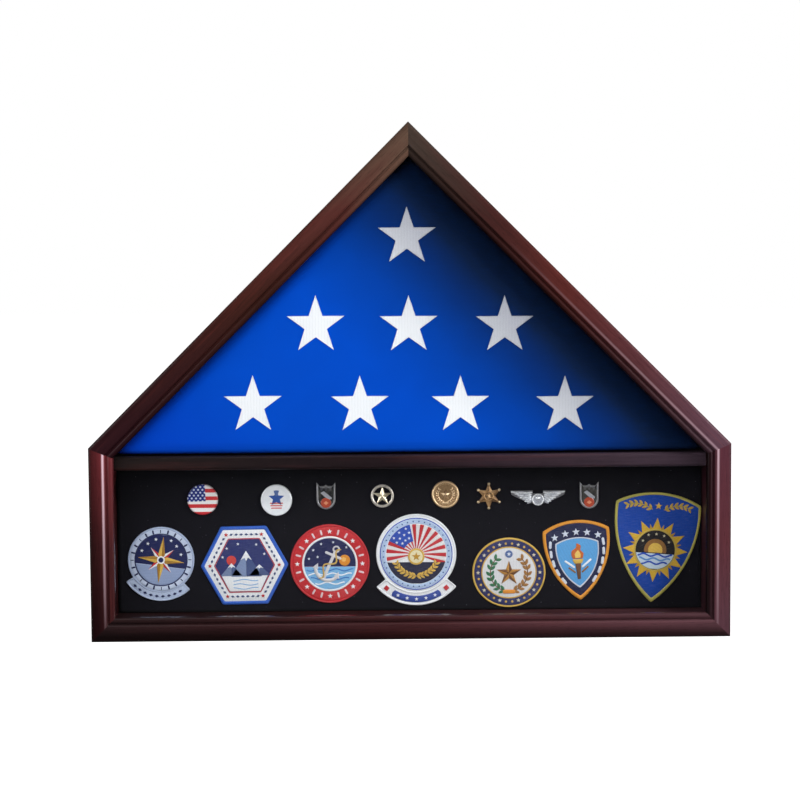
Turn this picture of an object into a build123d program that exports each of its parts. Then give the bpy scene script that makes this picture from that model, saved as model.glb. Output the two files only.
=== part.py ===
"""House-shaped case for a folded flag, over a shadow box for patches and pins.

Millimetres. X runs across the case, Y from the front to the back, Z up.
The origin lies under the middle of the case's bounding box.
Setbacks are measured backwards from the front face, insets inwards from the outside.
"""

import os
from math import cos, pi, radians, sin, sqrt, tan

from build123d import *

# Case boards
case_width = 711.0
side_height = 216.0
roof_pitch = 45.0
board_thickness = 19.0
board_depth = 89.0
outer_edge_round = 3.5
inner_edge_round = 2.5

# Hidden splines across the mitres
spline_reach = 5.0
spline_thickness = 3.0
spline_inset = 9.5
spline_front_setback = 12.0
spline_rear_margin = 12.0

# Front beads, glass and its stops
bead_width = 7.8
bead_groove_width = 1.2
bead_groove_setback = 3.2
bead_crown_setback = 1.0
bead_lip_setback = 4.6
glass_setback = 10.0
glass_thickness = 3.0
glass_clearance = 0.5
stop_width = 6.0
stop_depth = 8.0
stop_round = 1.5
seat_gap = 0.3

# Divider shelf
divider_drop = 3.4
divider_thickness = 16.0
divider_nose_round = 4.0
dado_depth = 3.0

# Back panels in their rabbets
panel_thickness = 4.0
panel_recess = 0.3
panel_clearance = 1.0
rabbet_width = 8.0
divider_rabbet = 3.8

# Display backing
pin_board_thickness = 12.7
felt_thickness = 1.0

# Folded flag
flag_rear_clearance = 1.7
flag_clearance = 1.0
flag_corner_round = 13.0
flag_edge_round = 9.0

# Turn buttons and their screws
button_thickness = 1.6
button_width = 8.0
button_reach = 22.0
button_gap = 0.2
button_bore_clearance = 0.1
button_end_distance = 120.0
screw_shank_radius = 1.5
screw_head_radius = 3.2
screw_head_height = 1.6
screw_head_round = 0.9
screw_slot_width = 0.8
screw_slot_depth = 0.7
screw_embed = 14.0

# Hanger at the apex
block_height = 40.0
block_thickness = 10.0
hanger_thickness = 1.6
hanger_width = 46.0
hanger_height = 20.0
hanger_corner_round = 3.0
hanger_edge_margin = 4.0
keyhole_entry_radius = 4.75
keyhole_slot_radius = 2.3
keyhole_rise = 7.0
keyhole_drop = 2.5
hanger_pocket_margin = 0.25
hanger_pocket_depth = 7.0
hanger_screw_spacing = 36.0
hanger_screw_embed = 7.5

# Wall bumpers
bumper_radius = 5.0
bumper_height = 4.0
bumper_round = 1.0

# Display that the patches are sized for
display_height = 169.73
display_width = 671.0

# Patches
patch_thickness = 1.8
compass_radius = 38.2
compass_rocker_width = 9.4
compass_rocker_angle = 102.0
compass_lean = -7.5
hexagon_half_width = 50.6
hexagon_half_height = 45.3
hexagon_edge_half_length = 26.2
hexagon_lean = 0.8
anchor_radius = 45.7
sunburst_radius = 46.2
sunburst_rocker_width = 13.7
sunburst_rocker_angle = 101.0
wreath_half_width = 42.3
wreath_half_height = 40.4
torch_width = 76.5
torch_row_width = 69.0
torch_crown = 10.8
torch_drop = 82.6
torch_side_half_width = 31.5
torch_side_drop = 43.5
torch_lean = 4.0
sun_width = 98.4
sun_crown = 12.8
sun_drop = 115.3
sun_side_half_width = 42.0
sun_side_drop = 55.5
sun_lean = -4.5

# Pins
pin_thickness = 2.0
post_radius = 0.6
post_length = 9.0
post_clearance = 0.1
button_pin_thickness = 4.0
button_pin_round = 1.5
flag_pin_radius = 17.7
star_pin_radius = 18.0
crest_width = 21.8
crest_height = 31.0
crest_horn_width = 3.5
crest_horn_height = 4.0
crest_side_height = 20.0
ring_radius = 13.4
ring_band = 3.2
ring_star_overlap = 0.8
five_point_waist = 0.382
medal_radius = 16.0
medal_round = 0.8
badge_radius = 15.6
badge_waist_radius = 7.2
badge_ball_radius = 1.7
wings_span = 63.0
wings_height = 17.6
wings_tip_slant = 1.3
wings_tip_drop = 4.6
wings_sweep_width = 18.5
wings_sweep_drop = 10.4
wings_foot_drop = 16.5
wings_shield_radius = 7.1
wings_gap_width = 12.0
wings_gap_depth = 3.5
wings_post_distance = 12.0


def house_corners(inset):
    """Corners of the house outline moved inwards by inset, clockwise from the lower right."""
    half = case_width / 2 - inset
    rise = tan(radians(roof_pitch))
    drop = inset / cos(radians(roof_pitch))
    shoulder = side_height + inset * rise - drop
    apex = side_height + case_width / 2 * rise - drop
    return [(half, inset), (-half, inset), (-half, shoulder), (0, apex), (half, shoulder)]


# Places in depth
front_y = -(board_depth + bumper_height) / 2
rear_y = front_y + board_depth
stop_setback = glass_setback + glass_thickness
divider_setback = stop_setback + stop_depth + seat_gap
rabbet_depth = panel_thickness + panel_recess
panel_setback = board_depth - rabbet_depth
pin_board_setback = panel_setback - pin_board_thickness
felt_setback = pin_board_setback - felt_thickness
flag_thickness = board_depth - block_thickness - flag_rear_clearance - divider_setback

# Places in height
shoulder_height = house_corners(board_thickness)[2][1]
inner_apex_height = house_corners(board_thickness)[3][1]
divider_top = shoulder_height - divider_drop
divider_bottom = divider_top - divider_thickness
lip_top = divider_top - divider_rabbet
lip_bottom = divider_bottom + divider_rabbet
block_bottom = inner_apex_height - block_height
hanger_middle = block_bottom + hanger_edge_margin + hanger_height / 2

# Places across
rim_width = board_thickness - rabbet_width
felt_width = case_width - 2 * (board_thickness + panel_clearance)

# Patches grow and shrink with the display's area
display_area = (divider_bottom - board_thickness) * felt_width
patch_scale = sqrt(display_area / (display_height * display_width))

# The five sides of the house, each a run from one corner to the next
depth_axis = Vector(0, 1, 0)
side_names = ["bottom", "side_left", "roof_left", "roof_right", "side_right"]
side_count = len(side_names)
corners = [Vector(x, front_y, z) for x, z in house_corners(0)]
runs = [corners[(i + 1) % side_count] - corners[i] for i in range(side_count)]
directions = [run.normalized() for run in runs]
inwards = [depth_axis.cross(direction) for direction in directions]
mitre_normals = [(directions[i - 1] + directions[i]).normalized() for i in range(side_count)]


def front_plane(setback):
    """A plane behind the case's front face; its normal faces the viewer."""
    return Plane.XZ.offset(-(front_y + setback))


def rear_plane(x, z, along=Vector(-1, 0, 0)):
    """A plane on the boards' rear edges, upright; its normal faces backwards."""
    return Plane(origin=(x, rear_y, z), x_dir=along, z_dir=depth_axis)


def rim_plane(side, distance):
    """A rear plane in the middle of a board's rim, at a distance from the board's first corner."""
    middle = corners[side] + directions[side] * distance + inwards[side] * (rim_width / 2)
    return rear_plane(middle.X, middle.Z, directions[side])


def felt_plane(x, z, lean=0):
    """A plane on the felt that faces the viewer, turned anticlockwise by lean degrees."""
    across = Vector(cos(radians(lean)), 0, sin(radians(lean)))
    return Plane(origin=(x, front_y + felt_setback, z), x_dir=across, z_dir=(0, -1, 0))


def save(part, label):
    """Write a piece under the name of its node."""
    part.label = label
    export_step(part, f"parts/{label}.step")


def mitred_length(side, section):
    """A section carried along one side of the case and mitred at both ends."""
    following = (side + 1) % side_count
    with BuildPart() as length:
        with BuildSketch(Plane(origin=corners[side], x_dir=inwards[side], z_dir=directions[side])):
            add(section)
        extrude(amount=runs[side].length)
        split(bisect_by=Plane(corners[side], z_dir=mitre_normals[side]), keep=Keep.TOP)
        split(bisect_by=Plane(corners[following], z_dir=mitre_normals[following]), keep=Keep.BOTTOM)
    return length.part


def house_slab(inset, setback, thickness, floor=0, ceiling=inner_apex_height + board_thickness):
    """A plate with the house outline, kept between two heights."""
    with BuildPart() as slab:
        with BuildSketch(front_plane(setback)):
            Polygon(*house_corners(inset), align=None)
            with Locations((0, floor)):
                kept = (Align.CENTER, Align.MIN)
                Rectangle(case_width, ceiling - floor, align=kept, mode=Mode.INTERSECT)
        extrude(amount=-thickness)
    return slab.part


def flat_piece(plane, outline, thickness):
    """A plate of one outline on a plane."""
    with BuildPart() as plate:
        with BuildSketch(plane):
            add(outline)
        extrude(amount=thickness)
    return plate.part


def spread(items, enlarged=1):
    """Middle of each item across the felt, from its enlarged width and its share of the spare width."""
    spare = felt_width - sum(width * enlarged for width, share in items.values())
    edge = -felt_width / 2
    middles = {}
    for name, (width, share) in items.items():
        edge += spare * share
        middles[name] = edge + width * enlarged / 2
        edge += width * enlarged
    return middles


# Turn buttons: six single ones on the boards' rims and two double ones on the divider
bottom = side_names.index("bottom")
roof_left = side_names.index("roof_left")
roof_right = side_names.index("roof_right")
single_buttons = {
    "turn_button_roof_left_low": (roof_left, button_end_distance),
    "turn_button_roof_left_high": (roof_left, runs[roof_left].length - button_end_distance),
    "turn_button_roof_right_high": (roof_right, button_end_distance),
    "turn_button_roof_right_low": (roof_right, runs[roof_right].length - button_end_distance),
    "turn_button_bottom_right": (bottom, button_end_distance),
    "turn_button_bottom_left": (bottom, runs[bottom].length - button_end_distance),
}
double_buttons = {
    "turn_button_divider_left": button_end_distance - case_width / 2,
    "turn_button_divider_right": case_width / 2 - button_end_distance,
}
lip_middle = (lip_bottom + lip_top) / 2
button_planes = {name: rim_plane(*spot) for name, spot in single_buttons.items()}
button_planes.update({name: rear_plane(x, lip_middle) for name, x in double_buttons.items()})
hanger_planes = [rear_plane(x, hanger_middle) for x in (-hanger_screw_spacing / 2, hanger_screw_spacing / 2)]


def pilot_holes(planes, depth):
    """The round holes that screws take in the wood."""
    with BuildPart() as holes:
        for plane in planes:
            with BuildSketch(plane):
                Circle(screw_shank_radius)
            extrude(amount=-depth)
    return holes.part


def make_screws(planes, head_base, embed):
    """Slotted round-headed screws, with their heads at head_base over the rims."""
    with BuildPart() as screws:
        for plane in planes:
            with BuildSketch(plane.offset(-embed)):
                Circle(screw_shank_radius)
            extrude(amount=embed + head_base)
            with BuildSketch(plane.offset(head_base)):
                Circle(screw_head_radius)
            extrude(amount=screw_head_height)
        fillet(screws.edges().filter_by(GeomType.CIRCLE).group_by(Axis.Y)[-1], screw_head_round)
        for plane in planes:
            with BuildSketch(plane.offset(head_base + screw_head_height)):
                Rectangle(2 * screw_head_radius, screw_slot_width)
            extrude(amount=-screw_slot_depth, mode=Mode.SUBTRACT)
    return screws.part


def make_turn_button(name):
    """A steel tab with round ends that turns on one screw; a double one reaches both ways."""
    far = button_reach - button_width / 2
    near = -far if name in double_buttons else 0
    with BuildPart() as button:
        with BuildSketch(button_planes[name].offset(button_gap)):
            with Locations(((near + far) / 2, 0)):
                SlotCenterToCenter(far - near, button_width)
            Circle(screw_shank_radius + button_bore_clearance, mode=Mode.SUBTRACT)
        extrude(amount=button_thickness)
    return button.part


os.makedirs("parts", exist_ok=True)

button_screws = make_screws(button_planes.values(), button_gap * 2 + button_thickness, screw_embed)
save(button_screws, "button_screws")
for name in button_planes:
    save(make_turn_button(name), name)

# Divider shelf: a round-nosed board with a rabbet above and below its rear lip
with BuildPart() as divider_shelf:
    with BuildSketch(Plane.YZ.offset(-case_width / 2)):
        with Locations((front_y + divider_setback, divider_bottom)):
            Rectangle(board_depth - divider_setback, divider_thickness, align=Align.MIN)
        with Locations((rear_y, divider_bottom)):
            Rectangle(rabbet_depth, divider_rabbet, align=(Align.MAX, Align.MIN), mode=Mode.SUBTRACT)
        with Locations((rear_y, divider_top)):
            Rectangle(rabbet_depth, divider_rabbet, align=Align.MAX, mode=Mode.SUBTRACT)
    extrude(amount=case_width)
    fillet(divider_shelf.edges().filter_by(Axis.X).group_by(Axis.Y)[0], divider_nose_round)
    with BuildSketch(front_plane(0)):
        Polygon(*house_corners(board_thickness - dado_depth), align=None)
    extrude(amount=-board_depth, mode=Mode.INTERSECT)
    add(pilot_holes([button_planes[name] for name in double_buttons], screw_embed), mode=Mode.SUBTRACT)
save(divider_shelf.part, "divider_shelf")

# Splines: one across each mitre, hidden in slots that both boards share
with BuildPart() as corner_splines:
    for corner in range(side_count):
        bisector = depth_axis.cross(mitre_normals[corner])
        middle = corners[corner] + bisector * (spline_inset / bisector.dot(inwards[corner]))
        spline_plane = Plane(middle, x_dir=mitre_normals[corner], z_dir=depth_axis)
        with BuildSketch(spline_plane.offset(spline_front_setback)):
            Rectangle(2 * spline_reach, spline_thickness)
        extrude(amount=board_depth - spline_front_setback - spline_rear_margin)
save(corner_splines.part, "corner_splines")

# Case boards: rounded front edges and a rabbet for the panels at the rear
with BuildSketch() as board_section:
    Rectangle(board_thickness, board_depth, align=Align.MIN)
    with Locations((board_thickness, board_depth)):
        Rectangle(rabbet_width, rabbet_depth, align=Align.MAX, mode=Mode.SUBTRACT)
    fillet(board_section.vertices().group_by(Axis.Y)[0].sort_by(Axis.X)[0], outer_edge_round)
    fillet(board_section.vertices().group_by(Axis.Y)[0].sort_by(Axis.X)[-1], inner_edge_round)

board_names = ["bottom_board", "side_board_left", "roof_board_left", "roof_board_right", "side_board_right"]
for side, name in enumerate(board_names):
    pilots = [button_planes[button] for button, (rim, distance) in single_buttons.items() if rim == side]
    with BuildPart() as board:
        add(mitred_length(side, board_section.sketch))
        add(corner_splines.part, mode=Mode.SUBTRACT)
        add(divider_shelf.part, mode=Mode.SUBTRACT)
        if pilots:
            add(pilot_holes(pilots, screw_embed), mode=Mode.SUBTRACT)
    save(board.part, name)

# Beads: a round nose beside a groove, seated on the board and on the glass
with BuildSketch() as bead_section:
    with BuildLine():
        groove_edge = (board_thickness + bead_groove_width, bead_groove_setback)
        crown = (board_thickness + (bead_groove_width + bead_width) / 2, bead_crown_setback)
        lip = (board_thickness + bead_width, bead_lip_setback)
        ThreePointArc(groove_edge, crown, lip)
        Polyline(
            lip,
            (board_thickness + bead_width, glass_setback),
            (board_thickness, glass_setback),
            (board_thickness, bead_groove_setback),
            groove_edge,
        )
    make_face()

# Glass stops: square strips behind the pane with one eased edge
with BuildSketch() as stop_section:
    with Locations((board_thickness, stop_setback)):
        Rectangle(stop_width, stop_depth, align=Align.MIN)
    fillet(stop_section.vertices().group_by(Axis.Y)[-1].sort_by(Axis.X)[-1], stop_round)

for side, name in enumerate(side_names):
    save(mitred_length(side, bead_section.sketch), f"bead_{name}")
    save(mitred_length(side, stop_section.sketch), f"glass_stop_{name}")
save(house_slab(board_thickness + glass_clearance, glass_setback, glass_thickness), "glass_pane")

# Apex block: fills the rear corner of the roof and backs the hanger plate
with BuildPart() as apex_block:
    block_setback = board_depth - block_thickness
    add(house_slab(board_thickness, block_setback, block_thickness - rabbet_depth, block_bottom))
    add(house_slab(rim_width, panel_setback, rabbet_depth, block_bottom))
    with BuildSketch(rear_plane(0, hanger_middle)):
        with Locations((0, keyhole_rise / 2 - keyhole_drop)):
            pocket_width = 2 * (keyhole_entry_radius + hanger_pocket_margin)
            SlotCenterToCenter(keyhole_rise, pocket_width, rotation=90)
    extrude(amount=-hanger_pocket_depth, mode=Mode.SUBTRACT)
    add(pilot_holes(hanger_planes, hanger_screw_embed), mode=Mode.SUBTRACT)
save(apex_block.part, "apex_block")

# Hanger plate: the wall screw's head enters the round hole and the case drops on its neck
with BuildPart() as hanger_plate:
    with BuildSketch(rear_plane(0, hanger_middle)):
        RectangleRounded(hanger_width, hanger_height, hanger_corner_round)
        with Locations((0, -keyhole_drop)):
            Circle(keyhole_entry_radius, mode=Mode.SUBTRACT)
        with Locations((0, keyhole_rise / 2 - keyhole_drop)):
            SlotCenterToCenter(keyhole_rise, 2 * keyhole_slot_radius, rotation=90, mode=Mode.SUBTRACT)
        with GridLocations(hanger_screw_spacing, 0, 2, 1):
            Circle(screw_shank_radius + button_bore_clearance, mode=Mode.SUBTRACT)
    extrude(amount=hanger_thickness)
save(hanger_plate.part, "hanger_plate")
save(make_screws(hanger_planes, hanger_thickness, hanger_screw_embed), "hanger_screws")

# Wall bumpers: one on each lower rear corner
for name, sign in (("bumper_left", -1), ("bumper_right", 1)):
    with BuildPart() as bumper:
        with BuildSketch(rear_plane(sign * (case_width - rim_width) / 2, rim_width / 2)):
            Circle(bumper_radius)
        extrude(amount=bumper_height)
        fillet(bumper.edges().group_by(Axis.Y)[-1], bumper_round)
    save(bumper.part, name)

# Folded flag: a thick triangle with soft edges, on the divider and behind the stops
with BuildPart() as folded_flag:
    flag_base = divider_top + seat_gap
    flag_apex = house_corners(board_thickness + flag_clearance)[3][1]
    flag_half_width = (flag_apex - flag_base) / tan(radians(roof_pitch))
    with BuildSketch(front_plane(divider_setback)) as flag_outline:
        Polygon((-flag_half_width, flag_base), (flag_half_width, flag_base), (0, flag_apex), align=None)
        fillet(flag_outline.vertices(), flag_corner_round)
    extrude(amount=-flag_thickness)
    faces_apart = folded_flag.edges().group_by(Axis.Y)
    fillet(faces_apart[0] + faces_apart[-1], flag_edge_round)
save(folded_flag.part, "folded_flag")

# Back panels: plates in the rear rabbets, one over each compartment
panel_inset = rim_width + panel_clearance
flag_panel_heights = (lip_top + panel_clearance, block_bottom - panel_clearance)
save(house_slab(panel_inset, panel_setback, panel_thickness, *flag_panel_heights), "flag_back")
display_ceiling = lip_bottom - panel_clearance
save(house_slab(panel_inset, panel_setback, panel_thickness, 0, display_ceiling), "display_back")

# Patches and pins: the width and the share of the spare width before each, from the left
patch_middles = spread({
    "compass_patch": (2 * compass_radius, 0.193),
    "mountain_patch": (2 * hexagon_half_width, 0.121),
    "anchor_patch": (2 * anchor_radius, 0.031),
    "sunburst_patch": (2 * sunburst_radius, 0.13),
    "wreath_patch": (2 * wreath_half_width, 0.316),
    "torch_patch": (torch_row_width, 0.005),
    "sun_patch": (sun_width, 0.208),
}, patch_scale)
pin_middles = spread({
    "flag_pin": (2 * flag_pin_radius, 0.2),
    "star_button_pin": (2 * star_pin_radius, 0.121),
    "crest_pin_left": (crest_width, 0.069),
    "ring_star_pin": (2 * ring_radius, 0.1),
    "medal_pin": (2 * medal_radius, 0.107),
    "six_point_pin": (2 * badge_radius, 0.045),
    "wings_pin": (wings_span, 0.023),
    "crest_pin_right": (crest_width, 0.041),
})
patch_heights = {
    "compass_patch": 61.8,
    "mountain_patch": 54.6,
    "anchor_patch": 55.6,
    "sunburst_patch": 66.2,
    "wreath_patch": 43.6,
    "torch_patch": 92.9,
    "sun_patch": 122.1,
}
pin_drops = {
    "flag_pin": 38.5,
    "star_button_pin": 39.8,
    "crest_pin_left": 35.6,
    "ring_star_pin": 36.2,
    "medal_pin": 35.1,
    "six_point_pin": 37.2,
    "wings_pin": 40.2,
    "crest_pin_right": 37.2,
}
patch_leans = {
    "compass_patch": compass_lean,
    "mountain_patch": hexagon_lean,
    "torch_patch": torch_lean,
    "sun_patch": sun_lean,
}
post_offsets = {name: (0,) for name in pin_middles}
post_offsets["wings_pin"] = (-wings_post_distance, wings_post_distance)


def patch_plane(name):
    """Where a patch lies on the felt, measured up from the display's floor."""
    height = board_thickness + patch_heights[name] * patch_scale
    return felt_plane(patch_middles[name], height, patch_leans.get(name, 0))


def pin_plane(name):
    """Where a pin sits on the felt, measured down from the divider."""
    return felt_plane(pin_middles[name], divider_bottom - pin_drops[name] * patch_scale)


def star_corners(points, outer, inner):
    """Corners of a star from the top, on two radii in turn."""
    radii = [outer, inner] * points
    return [(r * sin(pi * i / points), r * cos(pi * i / points)) for i, r in enumerate(radii)]


def disc_outline(radius):
    """A round outline."""
    with BuildSketch() as outline:
        Circle(radius)
    return outline.sketch


def rocker_outline(radius, rocker_width, rocker_angle):
    """A disc with a curved banner along its lower edge."""
    reach = radius + rocker_width
    side = reach * tan(radians(rocker_angle / 2))
    with BuildSketch() as outline:
        Circle(reach)
        Polygon((0, 0), (-side, -reach), (side, -reach), align=None, mode=Mode.INTERSECT)
        Circle(radius)
    return outline.sketch


def hexagon_outline():
    """A hexagon with a level top and bottom."""
    edge = hexagon_edge_half_length
    with BuildSketch() as outline:
        Polygon(
            (hexagon_half_width, 0),
            (edge, hexagon_half_height),
            (-edge, hexagon_half_height),
            (-hexagon_half_width, 0),
            (-edge, -hexagon_half_height),
            (edge, -hexagon_half_height),
            align=None,
        )
    return outline.sketch


def shield_outline(width, crown, drop, side_half_width, side_drop):
    """A shield hung from the middle between its upper corners: an arched top, full sides, a point."""
    half = width / 2
    with BuildSketch() as outline:
        with BuildLine():
            ThreePointArc((-half, 0), (0, crown), (half, 0))
            ThreePointArc((half, 0), (side_half_width, -side_drop), (0, -drop))
            ThreePointArc((0, -drop), (-side_half_width, -side_drop), (-half, 0))
        make_face()
    return outline.sketch


def wreath_outline():
    """A slightly oval outline."""
    with BuildSketch() as outline:
        Ellipse(wreath_half_width, wreath_half_height)
    return outline.sketch


def crest_outline():
    """A small shield with two horns at its upper corners and a round foot."""
    half = crest_width / 2
    top = crest_height / 2
    side_end = top - crest_side_height
    with BuildSketch() as outline:
        with BuildLine():
            Polyline(
                (-half, side_end),
                (-half, top),
                (crest_horn_width - half, top - crest_horn_height),
                (half - crest_horn_width, top - crest_horn_height),
                (half, top),
                (half, side_end),
            )
            ThreePointArc((half, side_end), (0, -top), (-half, side_end))
        make_face()
    return outline.sketch


def ring_star_outline():
    """A five-pointed star joined to a ring around it."""
    opening = ring_radius - ring_band
    outer = opening + ring_star_overlap
    with BuildSketch() as outline:
        Circle(ring_radius)
        Circle(opening, mode=Mode.SUBTRACT)
        Polygon(*star_corners(5, outer, outer * five_point_waist), align=None)
    return outline.sketch


def six_point_outline():
    """A six-pointed star with a ball at each point."""
    with BuildSketch() as outline:
        Polygon(*star_corners(6, badge_radius, badge_waist_radius), align=None)
        with PolarLocations(badge_radius - badge_ball_radius, 6, start_angle=90):
            Circle(badge_ball_radius)
    return outline.sketch


def wings_outline():
    """Two spread wings with level tops, joined by a round shield below the gap between them."""
    half = wings_span / 2
    top = wings_height / 2
    gap = wings_gap_width / 2
    tip = (half - wings_tip_slant, top - wings_tip_drop)
    sweep = (wings_sweep_width, top - wings_sweep_drop)
    foot = (0, top - wings_foot_drop)
    with BuildSketch() as outline:
        with BuildLine():
            Polyline(
                (-tip[0], tip[1]),
                (-half, top),
                (-gap, top),
                (-gap, top - wings_gap_depth),
                (gap, top - wings_gap_depth),
                (gap, top),
                (half, top),
                tip,
            )
            ThreePointArc(tip, sweep, foot)
            ThreePointArc(foot, (-sweep[0], sweep[1]), (-tip[0], tip[1]))
        make_face()
        with Locations((0, wings_shield_radius - top)):
            Circle(wings_shield_radius)
    return outline.sketch


def make_pin(name, outline, thickness, edge_round):
    """A metal badge flat on the felt, with its posts in the pin board."""
    with BuildPart() as pin:
        add(flat_piece(pin_plane(name), outline, thickness))
        if edge_round:
            fillet(pin.edges().group_by(Axis.Y)[0], edge_round)
        with BuildSketch(pin_plane(name)):
            with Locations(*[(offset, 0) for offset in post_offsets[name]]):
                Circle(post_radius)
        extrude(amount=-post_length)
    return pin.part


# Pin board and felt: one outline, with a hole for every post
with BuildPart() as post_holes:
    for name, offsets in post_offsets.items():
        with BuildSketch(pin_plane(name)):
            with Locations(*[(offset, 0) for offset in offsets]):
                Circle(post_radius + post_clearance)
        extrude(amount=-post_length - post_clearance)

backing_inset = board_thickness + panel_clearance
backing_ceiling = divider_bottom - panel_clearance
backing_layers = {
    "pin_board": (pin_board_setback, pin_board_thickness),
    "felt_cover": (felt_setback, felt_thickness),
}
for name, (setback, thickness) in backing_layers.items():
    with BuildPart() as backing:
        add(house_slab(backing_inset, setback, thickness, 0, backing_ceiling))
        add(post_holes.part, mode=Mode.SUBTRACT)
    save(backing.part, name)

torch_outline = shield_outline(torch_width, torch_crown, torch_drop, torch_side_half_width, torch_side_drop)
sun_outline = shield_outline(sun_width, sun_crown, sun_drop, sun_side_half_width, sun_side_drop)
patch_outlines = {
    "compass_patch": rocker_outline(compass_radius, compass_rocker_width, compass_rocker_angle),
    "mountain_patch": hexagon_outline(),
    "anchor_patch": disc_outline(anchor_radius),
    "sunburst_patch": rocker_outline(sunburst_radius, sunburst_rocker_width, sunburst_rocker_angle),
    "wreath_patch": wreath_outline(),
    "torch_patch": torch_outline,
    "sun_patch": sun_outline,
}
for name, outline in patch_outlines.items():
    save(flat_piece(patch_plane(name), scale(outline, patch_scale), patch_thickness), name)

pin_forms = {
    "flag_pin": (disc_outline(flag_pin_radius), button_pin_thickness, button_pin_round),
    "star_button_pin": (disc_outline(star_pin_radius), button_pin_thickness, button_pin_round),
    "crest_pin_left": (crest_outline(), pin_thickness, 0),
    "ring_star_pin": (ring_star_outline(), pin_thickness, 0),
    "medal_pin": (disc_outline(medal_radius), pin_thickness, medal_round),
    "six_point_pin": (six_point_outline(), pin_thickness, 0),
    "wings_pin": (wings_outline(), pin_thickness, 0),
    "crest_pin_right": (crest_outline(), pin_thickness, 0),
}
for name, form in pin_forms.items():
    save(make_pin(name, *form), name)
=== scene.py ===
"""Dresses the house-shaped flag case: wood, glass, folded flag, felt, patches, pins and the back.

Shapes are worked out in millimetres and written in metres. A flat figure is an array of complex
numbers, across plus i times up, anticlockwise as the viewer in front of the case sees it.
"""

from math import pi, radians

import bmesh
import bpy
import numpy as np
from mathutils import Matrix, Vector


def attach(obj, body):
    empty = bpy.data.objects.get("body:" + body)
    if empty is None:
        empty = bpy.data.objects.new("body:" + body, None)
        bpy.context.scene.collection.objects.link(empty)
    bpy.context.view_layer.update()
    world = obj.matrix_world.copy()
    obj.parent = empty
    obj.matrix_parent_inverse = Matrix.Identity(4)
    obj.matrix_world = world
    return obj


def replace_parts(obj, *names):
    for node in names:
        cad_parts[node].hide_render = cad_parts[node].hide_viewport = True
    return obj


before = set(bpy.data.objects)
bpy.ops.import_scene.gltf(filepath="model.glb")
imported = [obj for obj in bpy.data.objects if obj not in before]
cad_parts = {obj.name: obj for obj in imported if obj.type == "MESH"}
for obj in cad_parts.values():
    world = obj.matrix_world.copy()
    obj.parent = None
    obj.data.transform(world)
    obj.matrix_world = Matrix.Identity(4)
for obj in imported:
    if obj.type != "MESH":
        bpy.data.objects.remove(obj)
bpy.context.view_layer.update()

MM = 0.001
sunk = 0.15  # how far the foot of a raised filling goes into its ground
tucked = 0.1  # and the edges of a raised band
moulding = 28.0  # how wide the boards' moulded fronts are

# Places in depth, in millimetres, as in the part's source
front_y = -46.5
felt_face = front_y + 71.0
flag_front = front_y + 21.3
flag_thickness = 56.0

# Patches: place across, up and lean on the felt, in millimetres and degrees
patch_places = {
    "compass": (-286.18, 80.8, -7.5),
    "mountain": (-190.41, 73.6, 0.8),
    "anchor": (-92.33, 74.6, 0.0),
    "sunburst": (7.06, 85.2, 0.0),
    "wreath": (113.76, 62.6, 0.0),
    "torch": (190.85, 111.9, 4.0),
    "sun": (286.53, 141.1, -4.5),
}

# Pins: place across, up and how far their plates stand off the felt
pin_places = {
    "star_button_pin": (-152.74, 148.93, 4.0),
    "crest_pin_left": (-96.03, 153.13, 2.0),
    "ring_star_pin": (-31.43, 152.53, 2.0),
    "medal_pin": (41.09, 153.63, 2.0),
    "six_point_pin": (90.83, 151.53, 2.0),
    "wings_pin": (147.2, 148.53, 2.0),
    "crest_pin_right": (206.12, 151.53, 2.0),
}


def light_of(colour):
    """The light that a colour of three screen values, 0 to 255, stands for: the screen curve undone.
    A colour of four values is light already."""
    value = np.array(colour) / 255
    light = np.where(value <= 0.04045, value / 12.92, ((value + 0.055) / 1.055) ** 2.4)
    return colour if len(colour) == 4 else (*light.tolist(), 1.0)


white, pale_blue = (250, 250, 254), (196, 208, 236)
navy, royal, sky = (28, 36, 88), (30, 78, 190), (120, 176, 232)
red, orange, gold = (198, 38, 48), (236, 150, 50), (228, 184, 84)
olive, brown, green = (186, 162, 62), (112, 74, 48), (58, 122, 84)
slate, soot = (120, 136, 172), (26, 26, 32)


def placed(name, data):
    """A new object in the scene."""
    made = bpy.data.objects.new(name, data)
    bpy.context.scene.collection.objects.link(made)
    return made


# Shader maths


class Wire:
    """A socket of a shader tree. Arithmetic on it adds the Math node that does it."""

    def __init__(self, tree, socket):
        self.tree, self.socket = tree, socket

    def math(self, operation, *others):
        """The result of a Math node on this socket and others."""
        return self.tree.node("Math", {"operation": operation}, dict(enumerate((self, *others))))

    def __add__(self, other):
        return self.math("ADD", other)

    def __sub__(self, other):
        return self.math("SUBTRACT", other)

    def __mul__(self, other):
        return self.math("MULTIPLY", other)

    def __rsub__(self, other):
        return self * -1.0 + other

    __radd__, __rmul__ = __add__, __mul__

    def over(self, edge, soft):
        """0 below the edge and 1 above it, with a smooth step between edge - soft and edge + soft."""
        step = {"interpolation_type": "SMOOTHSTEP"}
        return self.tree.node("MapRange", step, {0: self, 1: edge - soft, 2: edge + soft})


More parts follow.
